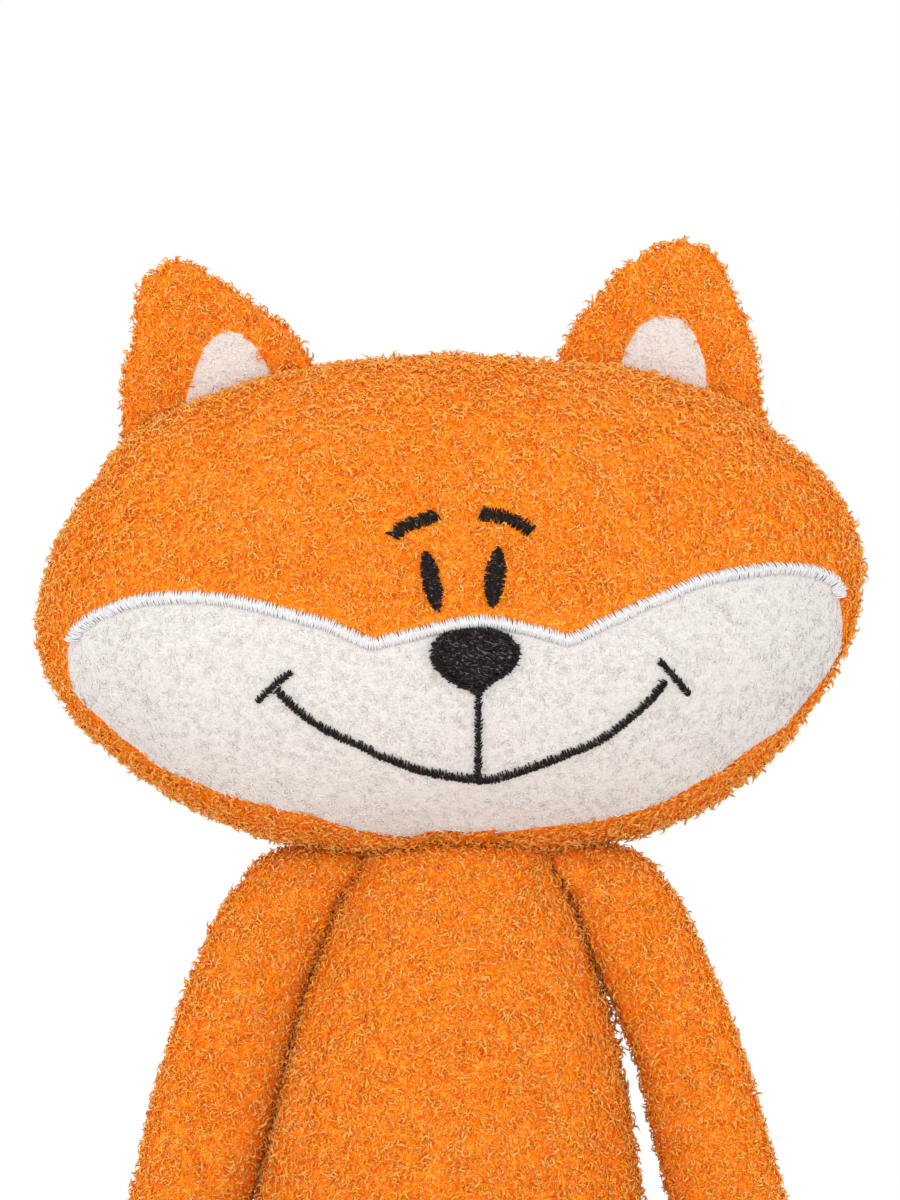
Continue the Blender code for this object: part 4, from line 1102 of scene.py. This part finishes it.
def pile(tree, skin, lie):
    """The curls on a skin as a mesh that takes the light a share like the cloth under it."""
    worker = add_object("worker", skin)
    worker.modifiers.new("pile", "NODES").node_group = tree
    mesh = baked(worker)
    bpy.data.objects.remove(worker)
    mesh.name = tree.name
    ground = np.empty(len(mesh.vertices) * 3, np.float32)
    mesh.attributes["ground"].data.foreach_get("vector", ground)
    own, ground = normals(mesh), ground.reshape(-1, 3)
    share = lie * np.clip((own * ground).sum(axis=1, keepdims=True), 0, 1) ** 0.6
    soft = own * (1 - share) + ground * share
    soft /= np.maximum(np.linalg.norm(soft, axis=1, keepdims=True), 1e-9)
    for extra in ("white", "sharp_face", "ground"):
        if extra in mesh.attributes:
            mesh.attributes.remove(mesh.attributes[extra])
    mesh.shade_smooth()
    mesh.normals_split_custom_set_from_vertices(soft)
    return over_floor(mesh, PILE_LOWEST)


stitches = [o for o in bpy.context.scene.objects if o.name.endswith("_stitches") or o.name == "muzzle_border"]

# Kinds of curls, how far they lean, and how much they take the light like the cloth under them
BOUCLE = (curls(2.9, 0.46, (60, 80, 105, 130, 160, 190)), (-0.1, 0.8), 0.7)
NAP = (curls(2.1, 0.36, (60, 80, 100, 125, 150, 170)), (0.8, 1.2), 0.9)
FLAT = ("muzzle_pile", "left_ear_patch_pile", "right_ear_patch_pile")

# Coats: the curls' spacing in millimetres, and their size
CLOSE, LOOSE, SHORT = (0.68, 1.0), (1.05, 1.25), (0.62, 0.7)
FRONT, BACK = (0, -1, 0), (0, 1, 0)
ABOVE, BELOW, LEFT, RIGHT = (0, 0, 1), (0, 0, -1), (1, 0, 0), (-1, 0, 0)


def split(middle, *ways):
    """The part of space that lies to some sides of a point."""
    return [(tuple(middle), way) for way in ways]


# The pile of each form: its material, whether it stands on white, on what part, and its coat
COATS = {
    "head": (
        ("forehead_pile", "orange_pile", False, split(HEAD_MIDDLE, FRONT, LEFT), CLOSE),
        ("temple_pile", "orange_pile", False, split(HEAD_MIDDLE, FRONT, RIGHT), CLOSE),
        ("head_back_left_pile", "orange_pile", False, split(HEAD_MIDDLE, BACK, LEFT), LOOSE),
        ("head_back_right_pile", "orange_pile", False, split(HEAD_MIDDLE, BACK, RIGHT), LOOSE),
        ("muzzle_pile", "white_pile", True, (), CLOSE),
    ),
    "body": (
        ("chest_pile", "orange_pile", None, split(BODY_MIDDLE, FRONT, ABOVE), CLOSE),
        ("belly_pile", "orange_pile", None, split(BODY_MIDDLE, FRONT, BELOW), CLOSE),
        ("back_pile", "orange_pile", None, split(BODY_MIDDLE, BACK, ABOVE), LOOSE),
        ("seat_pile", "orange_pile", None, split(BODY_MIDDLE, BACK, BELOW), LOOSE),
    ),
    "tail": (
        ("tail_pile", "orange_pile", False, (), LOOSE),
        ("tail_tip_pile", "white_pile", True, (), LOOSE),
    ),
    "neck": (("neck_pile", "orange_pile", None, (), LOOSE),),
}
for side, _ in SIDES:
    COATS[f"{side}_ear"] = (
        (f"{side}_ear_pile", "orange_pile", False, (), CLOSE),
        (f"{side}_ear_patch_pile", "white_pile", True, (), SHORT),
    )
    COATS[f"{side}_arm"] = ((f"{side}_arm_pile", "orange_pile", None, (), CLOSE),)
    COATS[f"{side}_leg"] = ((f"{side}_leg_pile", "orange_pile", None, (), LOOSE),)


def carried(piece, name):
    """The piece moves with its form's body, or, where it crosses a joint, stays in place with its transform
    applied.
    """
    if name in crossing:
        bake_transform(piece)
    else:
        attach(piece, held[name][0])


for seed, (name, coats) in enumerate(COATS.items()):
    skin = skins[name]
    for coat, finish, where, sectors, (spacing, size) in coats:
        kind, lean, lie = NAP if coat in FLAT else BOUCLE
        clear_of = stitches if name == "head" else ()
        tree = pile_tree(coat, spacing, kind, seed * 10, lean, where, sectors, clear_of, size)
        carried(link(coat, pile(tree, skin, lie), MATERIALS[finish]), name)
    weave = "face_cloth" if "white" in skin.attributes else "orange_cloth"
    cloth = link(f"{name}_cloth", skin, MATERIALS[weave])
    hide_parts(*held[name][1])
    carried(cloth, name)


# Camera, floor and light

camera = add_object("camera", bpy.data.cameras.new("camera"))
camera.location = VIEW_POINT
camera.rotation_euler = (pi / 2, 0, 0)
camera.data.sensor_width = SENSOR
camera.data.lens = SENSOR * VIEW_DISTANCE / VIEW_HEIGHT
camera.data.clip_start, camera.data.clip_end = 0.1, 20
bpy.context.scene.camera = camera

bm = bmesh.new()
bmesh.ops.create_circle(bm, cap_ends=True, segments=96, radius=1.0)
material, nodes, shader = new_material("floor_paint")
feed(nodes, shader, Base_Color=(0.86, 0.86, 0.86, 1), Roughness=0.9)
floor = link("floor", mesh_of(bm, "floor"), material)

world = bpy.data.worlds.new("studio")
bpy.context.scene.world = world
world.use_nodes = True
nodes = Nodes(world.node_tree)
rays = [f"Is {kind} Ray" for kind in ("Camera", "Glossy", "Transmission")]
seen = outermost([nodes.add("ShaderNodeLightPath", output=ray) for ray in rays], "MAXIMUM")
sky = world.node_tree.nodes["Background"]
sky.inputs["Color"].default_value = (1, 1, 1, 1)
world.node_tree.links.new((AMBIENT + seen * (1 - AMBIENT)).socket, sky.inputs["Strength"])


def lamp(name, place, watts):
    """A soft square lamp that faces the toy."""
    data = bpy.data.lights.new(name, "AREA")
    data.size, data.energy = LAMP_SIZE, watts
    made = add_object(name, data)
    made.location = place
    made.rotation_euler = (Vector(LAMP_AIM) - Vector(place)).to_track_quat("-Z", "Y").to_euler()


lamp("front_left_lamp", (-1.1, -1.3, 0.45), 5)
lamp("front_right_lamp", (1.2, -1.3, 0.4), 4)
lamp("low_lamp", (0.0, -1.6, 0.05), 7)
lamp("top_lamp", (0.0, -0.2, 1.6), 2)

bpy.context.scene.view_settings.view_transform = "Standard"
